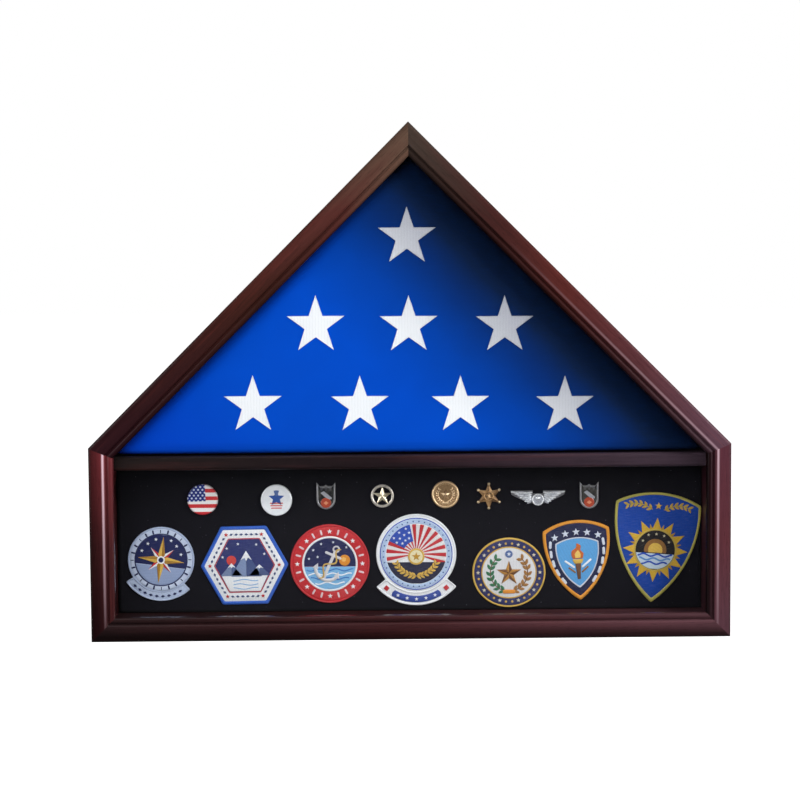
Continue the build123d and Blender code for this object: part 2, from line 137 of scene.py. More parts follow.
class Tree:
    """A node tree, and the one method that adds any node to it."""

    def __init__(self, tree):
        self.tree = tree
        tree.nodes.clear()

    def node(self, kind, settings, sockets, out=0):
        """A node of a type: its settings first, then a value or a link for each named socket."""
        made = self.tree.nodes.new("ShaderNode" + kind)
        for name, value in settings.items():
            if name == "stops":
                ramp = made.color_ramp.elements
                while len(ramp) < len(value):
                    ramp.new(1.0)
                for stop, (place, colour) in zip(ramp, value):
                    stop.position, stop.color = place, light_of(colour)
            else:
                setattr(made, name, value)
        for name, value in sockets.items():
            if isinstance(value, Wire):
                self.tree.links.new(value.socket, made.inputs[name])
            else:
                colour = made.inputs[name].type == "RGBA"
                made.inputs[name].default_value = light_of(value) if colour else value
        return Wire(self, made.outputs[out]) if made.outputs else None

    def ramp(self, at, stops):
        """The colour at a place between stops, each a place from 0 to 1 and a colour."""
        return self.node("ValToRGB", {"stops": stops}, {0: at})

    def mix(self, share, first, second, blend="MIX"):
        """Two colours mixed by a share of the second."""
        settings = {"data_type": "RGBA", "blend_type": blend, "clamp_factor": True}
        return self.node("Mix", settings, {0: share, 6: first, 7: second}, 2)


class Finish(Tree):
    """A material being made."""

    def __init__(self, name):
        self.material = bpy.data.materials.new(name)
        self.material.use_nodes = True
        super().__init__(self.material.node_tree)

    def spot(self, size=(1, 1, 1), lean=0.0, centre=(0, 0, 0)):
        """Object coordinates from a centre, turned back by a lean in the case's front plane, over a
        size in metres."""
        place = self.node("TexCoord", {}, {}, "Object")
        sockets = {"Vector": place, "Location": centre, "Rotation": (0, radians(-lean), 0), "Scale": size}
        return self.node("Mapping", {"vector_type": "TEXTURE"}, sockets)

    def noise(self, place, detail=2.0, rough=0.5):
        """Noise of about one fleck to each unit of a place."""
        sockets = {"Vector": place, "Scale": 1.0, "Detail": detail, "Roughness": rough}
        return self.node("TexNoise", {}, sockets)

    def fleck(self, size, detail=2.0, rough=0.5, lean=0.0):
        """Noise of a size in metres: one number, or one each for across, deep and up."""
        return self.noise(self.spot((size,) * 3 if isinstance(size, float) else size, lean), detail, rough)

    def own(self):
        """The mesh's own colour."""
        return self.node("Attribute", {"attribute_name": "thread"}, {}, "Color")

    def part(self, vector, axis):
        """One of a vector's three numbers: X, Y or Z."""
        return self.node("SeparateXYZ", {}, {0: vector}, axis)

    def bump(self, height, depth, strength=1.0):
        """Height from 0 to 1 as a relief of that depth in metres."""
        return self.node("Bump", {}, {"Height": height, "Distance": depth, "Strength": strength})

    def ended(self, shader):
        """The finished material, its surface joined to a shader."""
        self.node("OutputMaterial", {}, {"Surface": shader})
        return self.material

    def principled(self, colour, rough, relief, **more):
        """Ends the tree in one Principled shader. Further sockets are named with underscores for spaces."""
        sockets = {"Base Color": colour, "Roughness": rough, "Normal": relief}
        sockets.update({name.replace("_", " "): value for name, value in more.items()})
        return self.ended(self.node("BsdfPrincipled", {}, sockets))


def cherry(name, lean, start, tones, painted_shade_across, shine, painted_highlight=(16.0, 0.0, 0.0)):
    """Dark lacquered cherry, its grain along a board that leans by that many degrees. The stained
    colour passes through evenly spaced tones along the board, from a start at its outer edge, as
    across and up in metres; the tones are the wood's own and also painted light, shade and
    reflection. The next two tables give, at millimetres from the outer edge, how much of the colour
    the painted shade leaves there and how far the gloss keeps there, on the moulded front only. The
    last argument gives how many millimetres in a narrow, pale line of painted highlight runs, and
    its share at the start and the end."""
    made = Finish(name)
    length, (x, z) = {0: 0.7, 45: 0.5, 90: 0.2}[abs(lean)], start
    along = made.part(made.spot((length, 1, 1), lean, (x, 0, z)), "X")
    inwards = made.part(made.spot((1, 1, moulding * MM), lean, (x, 0, z)), "Z").math("ABSOLUTE")
    behind = made.part(made.spot((1, MM, 1), 0.0, (0, front_y * MM, 0)), "Y")
    front = 1.0 - behind.over(13.0, 3.0)
    figure = made.fleck((0.3, 0.014, 0.014), 3.0, 0.55, lean)
    fibre = made.fleck((0.06, 0.0016, 0.0016), 3.0, 0.6, lean)
    pores = made.fleck((0.011, 0.00042, 0.00042), 1.0, lean=lean).over(0.66, 0.05)
    # The tones along the board are the stained wood's own and also painted light, shade and reflection.
    stops = [(step / (len(tones) - 1), tone) for step, tone in enumerate(tones)]
    stain_and_light = made.ramp(along + (figure - 0.5) * 0.3, stops)
    grain = figure * 0.62 + fibre * 0.38
    stain_and_light = made.mix(grain.over(0.42, 0.14) * -0.35 + 0.35, stain_and_light, (14, 6, 7))
    stain_and_light = made.mix(grain.over(0.6, 0.1) * 0.15, stain_and_light, (120, 50, 44))
    stain_and_light = made.mix(pores * 0.4, stain_and_light, (12, 5, 6))
    # Painted shade across the moulded front: darker towards the outer edge and, by board, towards the
    # opening.
    shade_share, gloss = (
        made.ramp(inwards, [(mm / moulding, (share, share, share, 1.0)) for mm, share in shares.items()])
        for shares in (painted_shade_across, shine)
    )
    line, low, high = painted_highlight
    # Painted highlight: a narrow pale line along the board, its share changing from start to end.
    highlight_line = 1.0 - (inwards * moulding - line).math("ABSOLUTE").over(1.1, 0.9)
    moulded = made.mix(1.0, stain_and_light, shade_share, "MULTIPLY")
    moulded = made.mix(highlight_line * (along * (high - low) + low) * (fibre * 0.4 + 0.8), moulded, (214, 182, 192))
    stain_and_light = made.mix(front, stain_and_light, moulded)
    relief = made.bump(fibre * 0.5 - pores * 0.5, 0.00004, 0.5)
    lacquer = made.mix(front, (0.4, 0.4, 0.4, 1.0), gloss)
    return made.principled(
        stain_and_light, fibre * 0.16 + 0.3, relief, Specular_IOR_Level=0.03, Coat_Weight=lacquer, Coat_Roughness=0.08
    )


def plain_wood(name, lean, dark, light, band, rough):
    """Unfinished wood or board: growth bands and fibres along its lean, from a dark to a light tone."""
    made = Finish(name)
    bands = made.fleck((0.22, band, band), 2.0, 0.5, lean)
    fibre = made.fleck((0.02, 0.0011, 0.0011), 3.0, 0.65, lean)
    speck = made.fleck((0.004, 0.0009, 0.0009), lean=lean).over(0.63, 0.06)
    colour = made.mix(bands * 0.7 + fibre * 0.5 - 0.1, dark, light)
    colour = made.mix(speck * 0.35, colour, dark)
    relief = made.bump(fibre + speck * 0.5, 0.00012, 0.5)
    return made.principled(colour, fibre * 0.15 + rough, relief, Specular_IOR_Level=0.3)


def metal(name, colour, rough, brushed=0.0, tarnish=None):
    """Metal with fine scratches along X and a soft tarnish in patches."""
    made = Finish(name)
    scratch = made.fleck((0.02, 0.0003, 0.0003))
    cloud = made.fleck(0.006, 3.0, 0.6)
    shade = made.mix(cloud.over(0.52, 0.12) * 0.45, colour, tarnish or colour)
    rough = scratch * (0.12 + brushed * 0.2) + cloud * 0.1 + rough - 0.1
    return made.principled(shade, rough, made.bump(scratch, 0.00004, 0.15 + brushed), Metallic=1.0)


def relief_metal(name, rough):
    """Cast badge metal: its own colour from the mesh, darker where the casting's grain holds tarnish."""
    made = Finish(name)
    grain = made.fleck(0.0011, 3.0, 0.6)
    cloud = made.fleck(0.004)
    shade = made.mix(grain.over(0.55, 0.1) * 0.45, made.own(), (46, 40, 36))
    shade = made.mix(cloud.over(0.5, 0.2) * 0.08, shade, (235, 225, 205))
    return made.principled(shade, grain * 0.3 + rough, made.bump(grain, 0.00012, 0.5), Metallic=0.4)


def badge_plate(name, colour, rough):
    """The flat plate of a cast badge: tarnished between the raised parts."""
    made = Finish(name)
    grain = made.fleck(0.0009, 4.0, 0.65)
    shade = made.mix(grain.over(0.5, 0.16) * 0.6, colour, (34, 30, 28))
    return made.principled(shade, grain * 0.3 + rough, made.bump(grain, 0.00015, 0.6), Metallic=0.4)


def enamel(name):
    """Hard enamel: its own colour from the mesh under a clear gloss with a faint unevenness."""
    made = Finish(name)
    uneven = made.fleck(0.003)
    colour = made.mix(uneven * 0.25, made.own(), (0.02, 0.02, 0.02, 1.0))
    return made.principled(colour, uneven * 0.1 + 0.2, made.bump(uneven, 0.0001, 0.3), Coat_Weight=0.5)


def thread(name, pitch=0.45, shaded=False):
    """Embroidery: the mesh's colour and stitch coordinates. Threads lie side by side at a pitch in
    millimetres, each a round ridge, with painted shade in the grooves from one thread to the next and
    at the stitches' ends, and a faint painted sheen along the strands. Shaded thread greys towards
    the right roof: painted shade."""
    made = Finish(name)
    own = made.own()
    lie = made.node("UVMap", {"uv_map": "stitch"}, {})
    across, along = made.part(lie, "X"), made.part(lie, "Y")
    wobble = made.noise(made.node("Mapping", {}, {"Vector": lie, "Scale": (1.2, 0.5, 1.0)}))
    ridge = (across * (2 * pi / pitch) + wobble * 1.6).math("SINE") * 0.5 + 0.5
    strand = made.noise(made.node("Mapping", {}, {"Vector": lie, "Scale": (1.9, 0.12, 1.0)}), rough=0.6)
    ends = (along * 1.9 + strand * 9.0).math("SINE").over(0.86, 0.1)
    if shaded:
        # Painted shade: the thread greys towards the right roof.
        own = made.mix(from_right_roof(made).over(0.5, 0.42), (158, 158, 170), own)
    # Painted shade in the grooves between threads and at the stitches' ends, then a faint painted sheen
    # along the strands.
    shadow = made.mix((1.0 - ridge) * 0.22 + ends * 0.1, own, (0, 0, 0))
    sheen = made.mix(strand.over(0.55, 0.12) * 0.025, shadow, (255, 255, 255))
    relief = made.bump(ridge - ends * 0.4, 0.00016, 0.8)
    return made.principled(sheen, 0.62 - ridge * 0.14, relief, Sheen_Weight=0.03, Specular_IOR_Level=0.2)


def from_right_roof(made):
    """Distance square to the right roof's inner edge: 0 at the edge and 1 at 0.2 m from it."""
    place = made.spot((0.2, 1, 0.2), -45.0, (0.0, 0, 0.5446))
    return made.part(place, "Z") * -1.0


def flag_cloth():
    """Bright blue flag cotton: a plain weave of warp and weft, with slubs and a soft change of tone.
    Its blue also holds painted shade: dark near the right roof and under the apex, darker on the
    upper left and close to the left roof; far from the right roof it is a little darker again.
    """
    made = Finish("flag_cloth")
    place = made.spot((0.00072, 0.00072, 0.00072))
    weft, warp, deep = ((made.part(place, axis) * (2 * pi)).math("SINE") for axis in "XZY")
    weave = weft * warp + deep * 0.4
    slub = made.fleck((0.05, 0.0022, 0.0014), 3.0)
    tone = made.fleck(0.09, 3.0)
    # Painted shade: the blue darkens to navy towards the right roof's inner edge.
    stops = [
        (0.05, (6, 19, 39)), (0.2, (8, 25, 53)), (0.4, (4, 42, 108)),
        (0.62, (1, 57, 150)), (1.0, (0, 69, 184)),
    ]
    away = from_right_roof(made)
    # Painted shade over the upper part along the left roof.
    upper_left_shade = made.part(made.spot(), "Z").over(0.47, 0.12) * away.over(0.35, 0.2)
    dye_and_shade = made.ramp(away + (tone - 0.5) * 0.12 - upper_left_shade * 0.14, stops)
    # Painted shade close to the left roof's inner edge.
    from_left_roof = made.part(made.spot((0.03, 1, 0.03), 45.0, (0.0, 0, 0.5446)), "Z") * -1.0
    dye_and_shade = made.mix((1.0 - from_left_roof.over(0.5, 0.5)) * away.over(0.6, 0.3) * 0.6, dye_and_shade, (0, 38, 140))
    dye_and_shade = made.mix(away.over(1.9, 0.4) * 0.5, dye_and_shade, (0, 52, 182))
    dye_and_shade = made.mix(slub.over(0.56, 0.1) * 0.01, dye_and_shade, (10, 100, 225))
    dye_and_shade = made.mix((weave * 0.5 + 0.5) * 0.1, dye_and_shade, (0, 26, 90))
    relief = made.bump(weave * 0.3 + slub * 0.7, 0.00006, 0.4)
    return made.principled(dye_and_shade, slub * 0.1 + 0.7, relief, Specular_IOR_Level=0.02)


def felt_cloth():
    """Black felt: matted fibres that catch a little light, and a few pale specks of lint."""
    made = Finish("felt_cloth")
    mat = made.fleck(0.0016, 4.0, 0.7)
    fibre = made.fleck((0.006, 0.0007, 0.0004), 3.0, 0.6, 35.0)
    cloud = made.fleck(0.05)
    lint = made.fleck(0.0022, 0.0).over(0.84, 0.02)
    colour = made.mix(mat * 0.5 + fibre * 0.5, (8, 7, 9), (26, 24, 32))
    colour = made.mix(cloud * 0.4, colour, (14, 14, 22))
    colour = made.mix(lint * 0.35, colour, (120, 120, 130))
    relief = made.bump(mat + fibre, 0.0001, 0.5)
    return made.principled(colour, 0.95, relief, Sheen_Weight=0.05, Specular_IOR_Level=0.1)


def foam():
    """Cut foam board: fine closed cells on a dusty off-white."""
    made = Finish("foam_board")
    cell = made.node("TexVoronoi", {}, {"Vector": made.spot(), "Scale": 1400.0}, "Distance")
    dust = made.fleck(0.02, 3.0)
    colour = made.mix(cell * 0.5 + dust * 0.3, (228, 227, 222), (196, 194, 186))
    return made.principled(colour, dust * 0.1 + 0.8, made.bump(cell, 0.0003, 0.5))


def rubber():
    """Soft black rubber with a dusty bloom."""
    made = Finish("bumper_rubber")
    bloom = made.fleck(0.003, 3.0)
    colour = made.mix(bloom * 0.5, (24, 24, 25), (66, 65, 64))
    return made.principled(colour, bloom * 0.2 + 0.6, made.bump(bloom, 0.0001, 0.4))


def pane():
    """Clear glass: light passes straight through, less a twentieth at each face, and a little is
    mirrored by the faces it enters, more at a low angle. The faces it leaves by mirror nothing,
    because that would double what lies behind."""
    made = Finish("clear_glass")
    smear = made.fleck(0.12, 3.0, lean=20.0)
    leaving = made.node("NewGeometry", {}, {}, "Backfacing")
    mirrored = made.node("Fresnel", {}, {"IOR": 1.42}) * (smear * 0.2 + 0.3) * (1.0 - leaving)
    clear = made.node("BsdfTransparent", {}, {"Color": (0.944, 0.953, 0.952, 1.0)})
    gloss = made.node("BsdfGlossy", {}, {"Color": (255, 255, 255), "Roughness": 0.03})
    return made.ended(made.node("MixShader", {}, {0: mirrored, 1: clear, 2: gloss}))


def striped_button(x, z, radius):
    """Printed tin button. From its own place over its radius: stripes are a sine of height, the
    canton is what lies left of one line and above another, and its stars are dots on a lattice."""
    made = Finish("striped_button")
    place = made.spot((radius * MM, 1, radius * MM), 0.0, (x * MM, 0, z * MM))
    across, up = made.part(place, "X"), made.part(place, "Z")
    stripes = (up * 12.6 + 0.4).math("SINE").over(0.0, 0.12)
    canton = (1.0 - (across + up * 0.05).over(0.2, 0.015)) * (up + across * -0.03).over(-0.1, 0.015)
    row = up * 5.4
    shifted = across * 3.6 + row.math("FLOOR") * 0.5
    off_row, off_column = row.math("FRACT") - 0.5, shifted.math("FRACT") - 0.5
    dots = 1.0 - (off_row * off_row * 0.45 + off_column * off_column).over(0.05, 0.018)
    starred = made.mix(dots * 0.85, (34, 48, 128), (222, 228, 246))
    face_colour = made.mix(canton, made.mix(stripes, (242, 236, 236), (206, 52, 56)), starred)
    # Darker towards the rim.
    rim = (across * across + up * up).math("SQRT").over(0.93, 0.05)
    face_colour = made.mix(rim * 0.35, face_colour, (40, 24, 30))
    dust = made.fleck(0.004)
    return made.principled(face_colour, dust * 0.12 + 0.2, made.bump(dust, 0.0001, 0.15), Coat_Weight=0.6)


def tin_button():
    """White tin button under clear gloss, with dust in patches."""
    made = Finish("white_button")
    dust = made.fleck(0.005, 3.0)
    colour = made.mix(dust.over(0.5, 0.2) * 0.3, (242, 242, 246), (206, 208, 220))
    return made.principled(colour, dust * 0.12 + 0.2, made.bump(dust, 0.0001, 0.15), Coat_Weight=0.6)


# Flat figures


def way(angle):
    """The direction at an angle in degrees, from the right and anticlockwise."""
    return np.exp(1j * np.radians(angle))


def arc(radius, start, stop, count=60):
    """Part of a circle between two angles in degrees."""
    return radius * way(np.linspace(start, stop, count))


def closed(rows):
    """Rows with their first point once more at the end."""
    return np.append(rows, rows[..., :1], -1)


def lengths(path):
    """How far along a path each of its points lies."""
    return np.append(0.0, np.cumsum(abs(np.diff(path))))


def turns(count):
    """Angles at equal steps round a full turn."""
    return np.arange(count) * (2 * pi / count)


def disc(radius, count=180):
    """A circle: the radius times the unit circle."""
    return radius * np.exp(1j * turns(count))


def evened(outline, count):
    """A closed outline at equal steps of its length."""
    whole = closed(outline)
    run = lengths(whole)
    steps = np.linspace(0.0, run[-1], count, endpoint=False)
    return np.interp(steps, run, whole.real) + 1j * np.interp(steps, run, whole.imag)


def softened(outline, radius):
    """Rounded corners: the outline averaged along itself by a bell curve of that radius, on its spectrum."""
    step = abs(np.roll(outline, -1) - outline).mean()
    waves = np.fft.fftfreq(len(outline), step)
    return np.fft.ifft(np.fft.fft(outline) * np.exp(-2 * (pi * waves * radius) ** 2))


def polygon(corners, count=96, soft=0.25):
    """A closed figure through corners, with its corners eased."""
    return softened(evened(np.array(corners), count), soft)


def outward(outline):
    """Unit normals of a closed anticlockwise outline: its tangents turned a quarter clockwise."""
    tangent = np.roll(outline, -1) - np.roll(outline, 1)
    return -1j * tangent / abs(tangent)


def inset(outline, distance):
    """The outline moved inwards along its normals."""
    return outline - outward(outline) * distance


def drawn_in(outline, distance, radius, middle=0j):
    """The outline drawn in towards a middle, by a distance where it is a radius away."""
    return middle + (outline - middle) * (1 - distance / radius)


def spokes(points, outer, inner):
    """A star's corners from the top, in turn on an outer radius and an inner one."""
    at = np.arange(2 * points)
    return np.where(at % 2 == 0, outer, inner) * 1j * np.exp(1j * pi * at / points)


def star(outer, waist, count=120, soft=0.2):
    """A five-pointed star, its waist a share of its outer radius."""
    return polygon(spokes(5, outer, outer * waist), count, soft)


def sector(inner, outer, middle, half, count=160, soft=0.6):
    """Part of a ring, half degrees to each side of its middle: an outer arc one way, an inner one back."""
    start, stop = middle - half, middle + half
    return polygon(np.append(arc(outer, start, stop), arc(inner, stop, start)), count, soft)


def chord(radius, low, high, count=140):
    """The part of a disc between two heights: its circle's points between them and both edges' ends."""
    whole = disc(radius, 720)
    shade_share = whole[(whole.imag >= low) & (whole.imag <= high)]
    ends = [np.sqrt(max(radius**2 - level**2, 0.0)) for level in (low, high)]
    edges = [complex(side * end, level) for end, level in zip(ends, (low, high)) for side in (-1, 1)]
    cut = np.append(shade_share, edges)
    middle = cut.mean()
    return evened(cut[np.argsort(np.angle(cut - middle))], count)


def capsule(start, end, width, count=48):
    """A bar with round ends: half circles about its two ends."""
    cap = (end - start) / abs(end - start) * arc(width / 2, -90, 90, 24)
    return evened(np.append(end + cap, start - cap), count)


def lozenge(length, width, angle, middle=0j, count=40):
    """Four eased corners about a middle: half lengths at an angle and half widths across it."""
    return polygon(np.array([length, 1j * width, -length, -1j * width]) * way(angle) + middle, count, 0.2)


def leaf(root, tip, width, count=40):
    """A pointed leaf: two arcs from root to tip, as wide as a half sine."""
    along = np.linspace(0, 1, 21)
    side = 1j * (tip - root) / abs(tip - root) * width / 2 * np.sin(pi * along) ** 0.8
    spine = root + (tip - root) * along
    return evened(np.append(spine - side, (spine + side)[::-1]), count)


def arc_through(first, middle, last, count=60):
    """The circular arc through three points, centred where their bisectors cross."""
    a, b, c = (np.array([p.real, p.imag]) for p in (first, middle, last))
    centre = complex(*np.linalg.solve(2 * np.array([b - a, c - a]), [b @ b - a @ a, c @ c - a @ a]))
    start, through, stop = (np.angle(p - centre) for p in (first, middle, last))
    ahead, whole = (through - start) % (2 * pi), (stop - start) % (2 * pi)
    sweep = whole if ahead < whole else whole - 2 * pi
    return centre + abs(first - centre) * np.exp(1j * (start + sweep * np.linspace(0, 1, count)))


def shield(width, crown, drop, side_half, side_drop, soft=0.9, count=260):
    """A shield hung from the middle of its upper corners: an arched top and two full sides to a point."""
    half, tip = width / 2, complex(0, -drop)
    top = arc_through(complex(half, 0), complex(0, crown), complex(-half, 0))
    left = arc_through(complex(-half, 0), complex(-side_half, -side_drop), tip)
    right = arc_through(tip, complex(side_half, -side_drop), complex(half, 0))
    return softened(evened(np.concatenate([top[:-1], left[:-1], right[:-1]]), count), soft)


def wave(run, level, height, length):
    """A wavy line at a level: a sine of that height, one radian for each length."""
    return run + 1j * (level + height * np.sin(run / length + level))


# Raised work


class Relief:
    """One piece made of grids of points in front of a base plane that faces the viewer."""

    def __init__(self, x, y, z, lean=0.0):
        self.origin, self.turned = (x, y, z), way(lean)
        self.points, self.colours, self.faces, self.corners, self.slots = [], [], [], [], []
        self.count = 0

    def lay(self, plan, out, colour, stitch, pole=None, looped=True, slot=0):
        """A grid: rows of plan points at heights out. Each row closes on itself where looped, so that
        stitch has one column more. A pole, as plan, height and stitch, closes the last row."""
        plan, out = np.broadcast_arrays(plan, out)
        rows, columns = plan.shape
        index = self.count + np.arange(rows * columns).reshape(rows, columns)
        index = closed(index) if looped else index
        stitch = np.broadcast_to(stitch, index.shape)
        quads, lies = (
            np.stack([a[:-1, :-1], a[:-1, 1:], a[1:, 1:], a[1:, :-1]], 2).reshape(-1, 4)
            for a in (index, stitch)
        )
        self.faces += quads.tolist()
        self.corners.append(lies.ravel())
        plan, out = plan.ravel(), out.ravel()
        if pole is not None:
            plan, out = np.append(plan, pole[0]), np.append(out, pole[1])
            tops = np.full(columns, self.count + rows * columns), np.full(columns, pole[2])
            fan, ends = (np.stack([a[-1, :-1], a[-1, 1:], top], 1) for a, top in zip((index, stitch), tops))
            self.faces += fan.tolist()
            self.corners.append(ends.ravel())
        self.slots.append(np.full(len(quads) + (pole is not None) * columns, slot))
        plan = plan * self.turned
        x, y, z = self.origin
        self.points.append(np.stack([x + plan.real, y - out, z + plan.imag], 1))
        self.colours.append(np.tile(light_of(colour), (len(plan), 1)))
        self.count += len(plan)

    def pad(
        self, outline, base, height, colour, slant=0.0, roll=0.5, crown=0.0, middle=None, slot=0, fall=None
    ):
        """A raised filling of stitches: up a quarter round as wide as roll, then rings that shrink
        to the middle while they rise by the crown. slant is the threads' direction in degrees, and
        fall gives how far the ground falls back under each point."""
        middle = outline.mean() if middle is None else middle
        quarter = np.linspace(0, pi / 2, 4)[:, None]
        narrow = min(roll / abs(outline - middle).min(), 0.9)
        edge = middle + (outline - middle) * (1 - narrow * (1 - np.cos(quarter)))
        share = np.array([0.8, 0.55, 0.3])[:, None]
        plan = np.vstack([edge, middle + (edge[-1] - middle) * share])
        lift = np.vstack([height * np.sin(quarter), height + crown * (1 - share**2)])
        lift[0] = -sunk
        drop = fall or (lambda at: 0.0)
        across = way(90.0 - slant)
        peak = (middle, base + height + crown - drop(middle), middle * across)
        self.lay(plan, base + lift - drop(plan), colour, closed(plan) * across, peak, slot=slot)

    def facets(self, corners, base, ridge, low, colours):
        """A faceted boss: flat wedges from each outline edge up to the middle, in two tones by turns, a lit
        and a shaded one: painted light and shade.
        """
        for at, ends in enumerate(zip(corners, np.roll(corners, -1))):
            for shares, heights in (((1, 1), (-sunk, low)), ((1, 0.02), (low, ridge))):
                plan, out = np.outer(shares, ends), base + np.array(heights)[:, None]
                self.lay(plan, out, colours[at % 2], 0j, looped=False)

    def band(self, outer, inner, base, height, colour, pitch=1.0):
        """A raised ring between two outlines: a half round across, threads square to its run."""
        over = np.linspace(0, pi, 9)[:, None]
        plan = outer + (inner - outer) * (1 - np.cos(over)) / 2
        lie = lengths(closed(outer)) * pitch + 1j * over * abs(outer - inner).mean() / pi + 0.35 * over
        self.lay(plan, base - tucked + (height + tucked) * np.sin(over) ** 0.8, colour, lie)

    def ribbon(self, path, width, base, height, colour):
        """A raised strip along an open path: a half round across, narrowed to a point at both ends."""
        tangent = np.gradient(path)
        side = -1j * tangent / abs(tangent) * width / 2
        step = np.arange(len(path))
        ends = np.minimum(1.0, np.minimum(step, step[::-1]) / 2.0) ** 0.5
        over = np.linspace(0, pi, 7)[:, None]
        lie = lengths(path) + 1j * over * width / pi
        out = base - tucked + (height + tucked) * np.sin(over) * ends
        self.lay(path + side * ends * np.cos(over), out, colour, lie, looped=False)

    def slab(self, outline, thick, colour, slant):
        """The cloth under the stitches: a closed plate of the outline, its face on the base plane."""
        self.pad(outline, -thick, thick, colour, slant, 0.3)
        under = outline[None, ::-1]
        self.lay(under, -thick, colour, closed(under), (under.mean(), -thick, under.mean()))

    def ball(self, middle, radius, base, colour):
        """A round stud: rings of a half ball from its widest line up to its top."""
        up = np.linspace(0, pi / 2, 6)[:-1, None]
        plan = middle + radius * np.cos(up) * np.exp(1j * turns(20))
        self.lay(plan, base + radius * np.sin(up), colour, 0j, (middle, base + radius, 0j))

    def made(self, name, finishes, body, slot_name, smooth=True):
        """The finished object in metres, on its body, with its coincident points joined."""
        mesh = bpy.data.meshes.new(name)
        mesh.from_pydata((np.vstack(self.points) * MM).tolist(), [], self.faces)
        own = mesh.attributes.new("thread", "FLOAT_COLOR", "POINT")
        own.data.foreach_set("color", np.vstack(self.colours).ravel())
        lies = np.concatenate(self.corners)
        layer = mesh.uv_layers.new(name="stitch")
        layer.data.foreach_set("uv", np.stack([lies.real, lies.imag], 1).ravel())
        for finish in finishes:
            mesh.materials.append(finish)
        mesh.polygons.foreach_set("material_index", np.concatenate(self.slots))
        mesh.polygons.foreach_set("use_smooth", np.full(len(mesh.polygons), smooth))
        shell = bmesh.new()
        shell.from_mesh(mesh)
        bmesh.ops.remove_doubles(shell, verts=shell.verts, dist=1e-7)
        shell.to_mesh(mesh)
        shell.free()
        piece = placed(name, mesh)
        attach(piece, body)
        return piece


# Camera, where the photograph was taken from
turn, pitch, roll = radians(-0.57), radians(-3.59), radians(0.42)
distance, focal_pixels, picture_pixels = 1.8, 1635.4, 800
aim = Vector((-11.0, front_y, 267.1)) * MM
turning = Matrix.Rotation(turn, 3, "Z") @ Matrix.Rotation(pitch, 3, "X") @ Matrix.Rotation(roll, 3, "Y")
across, ahead, above = turning.col
camera = placed("camera", bpy.data.cameras.new("camera"))
camera.matrix_world = (
    Matrix.Translation(aim - ahead * distance) @ Matrix([across, above, -ahead]).transposed().to_4x4()
)
camera.data.sensor_width = 36.0
camera.data.lens = camera.data.sensor_width * focal_pixels / picture_pixels
camera.data.clip_end = 60.0
bpy.context.scene.camera = camera

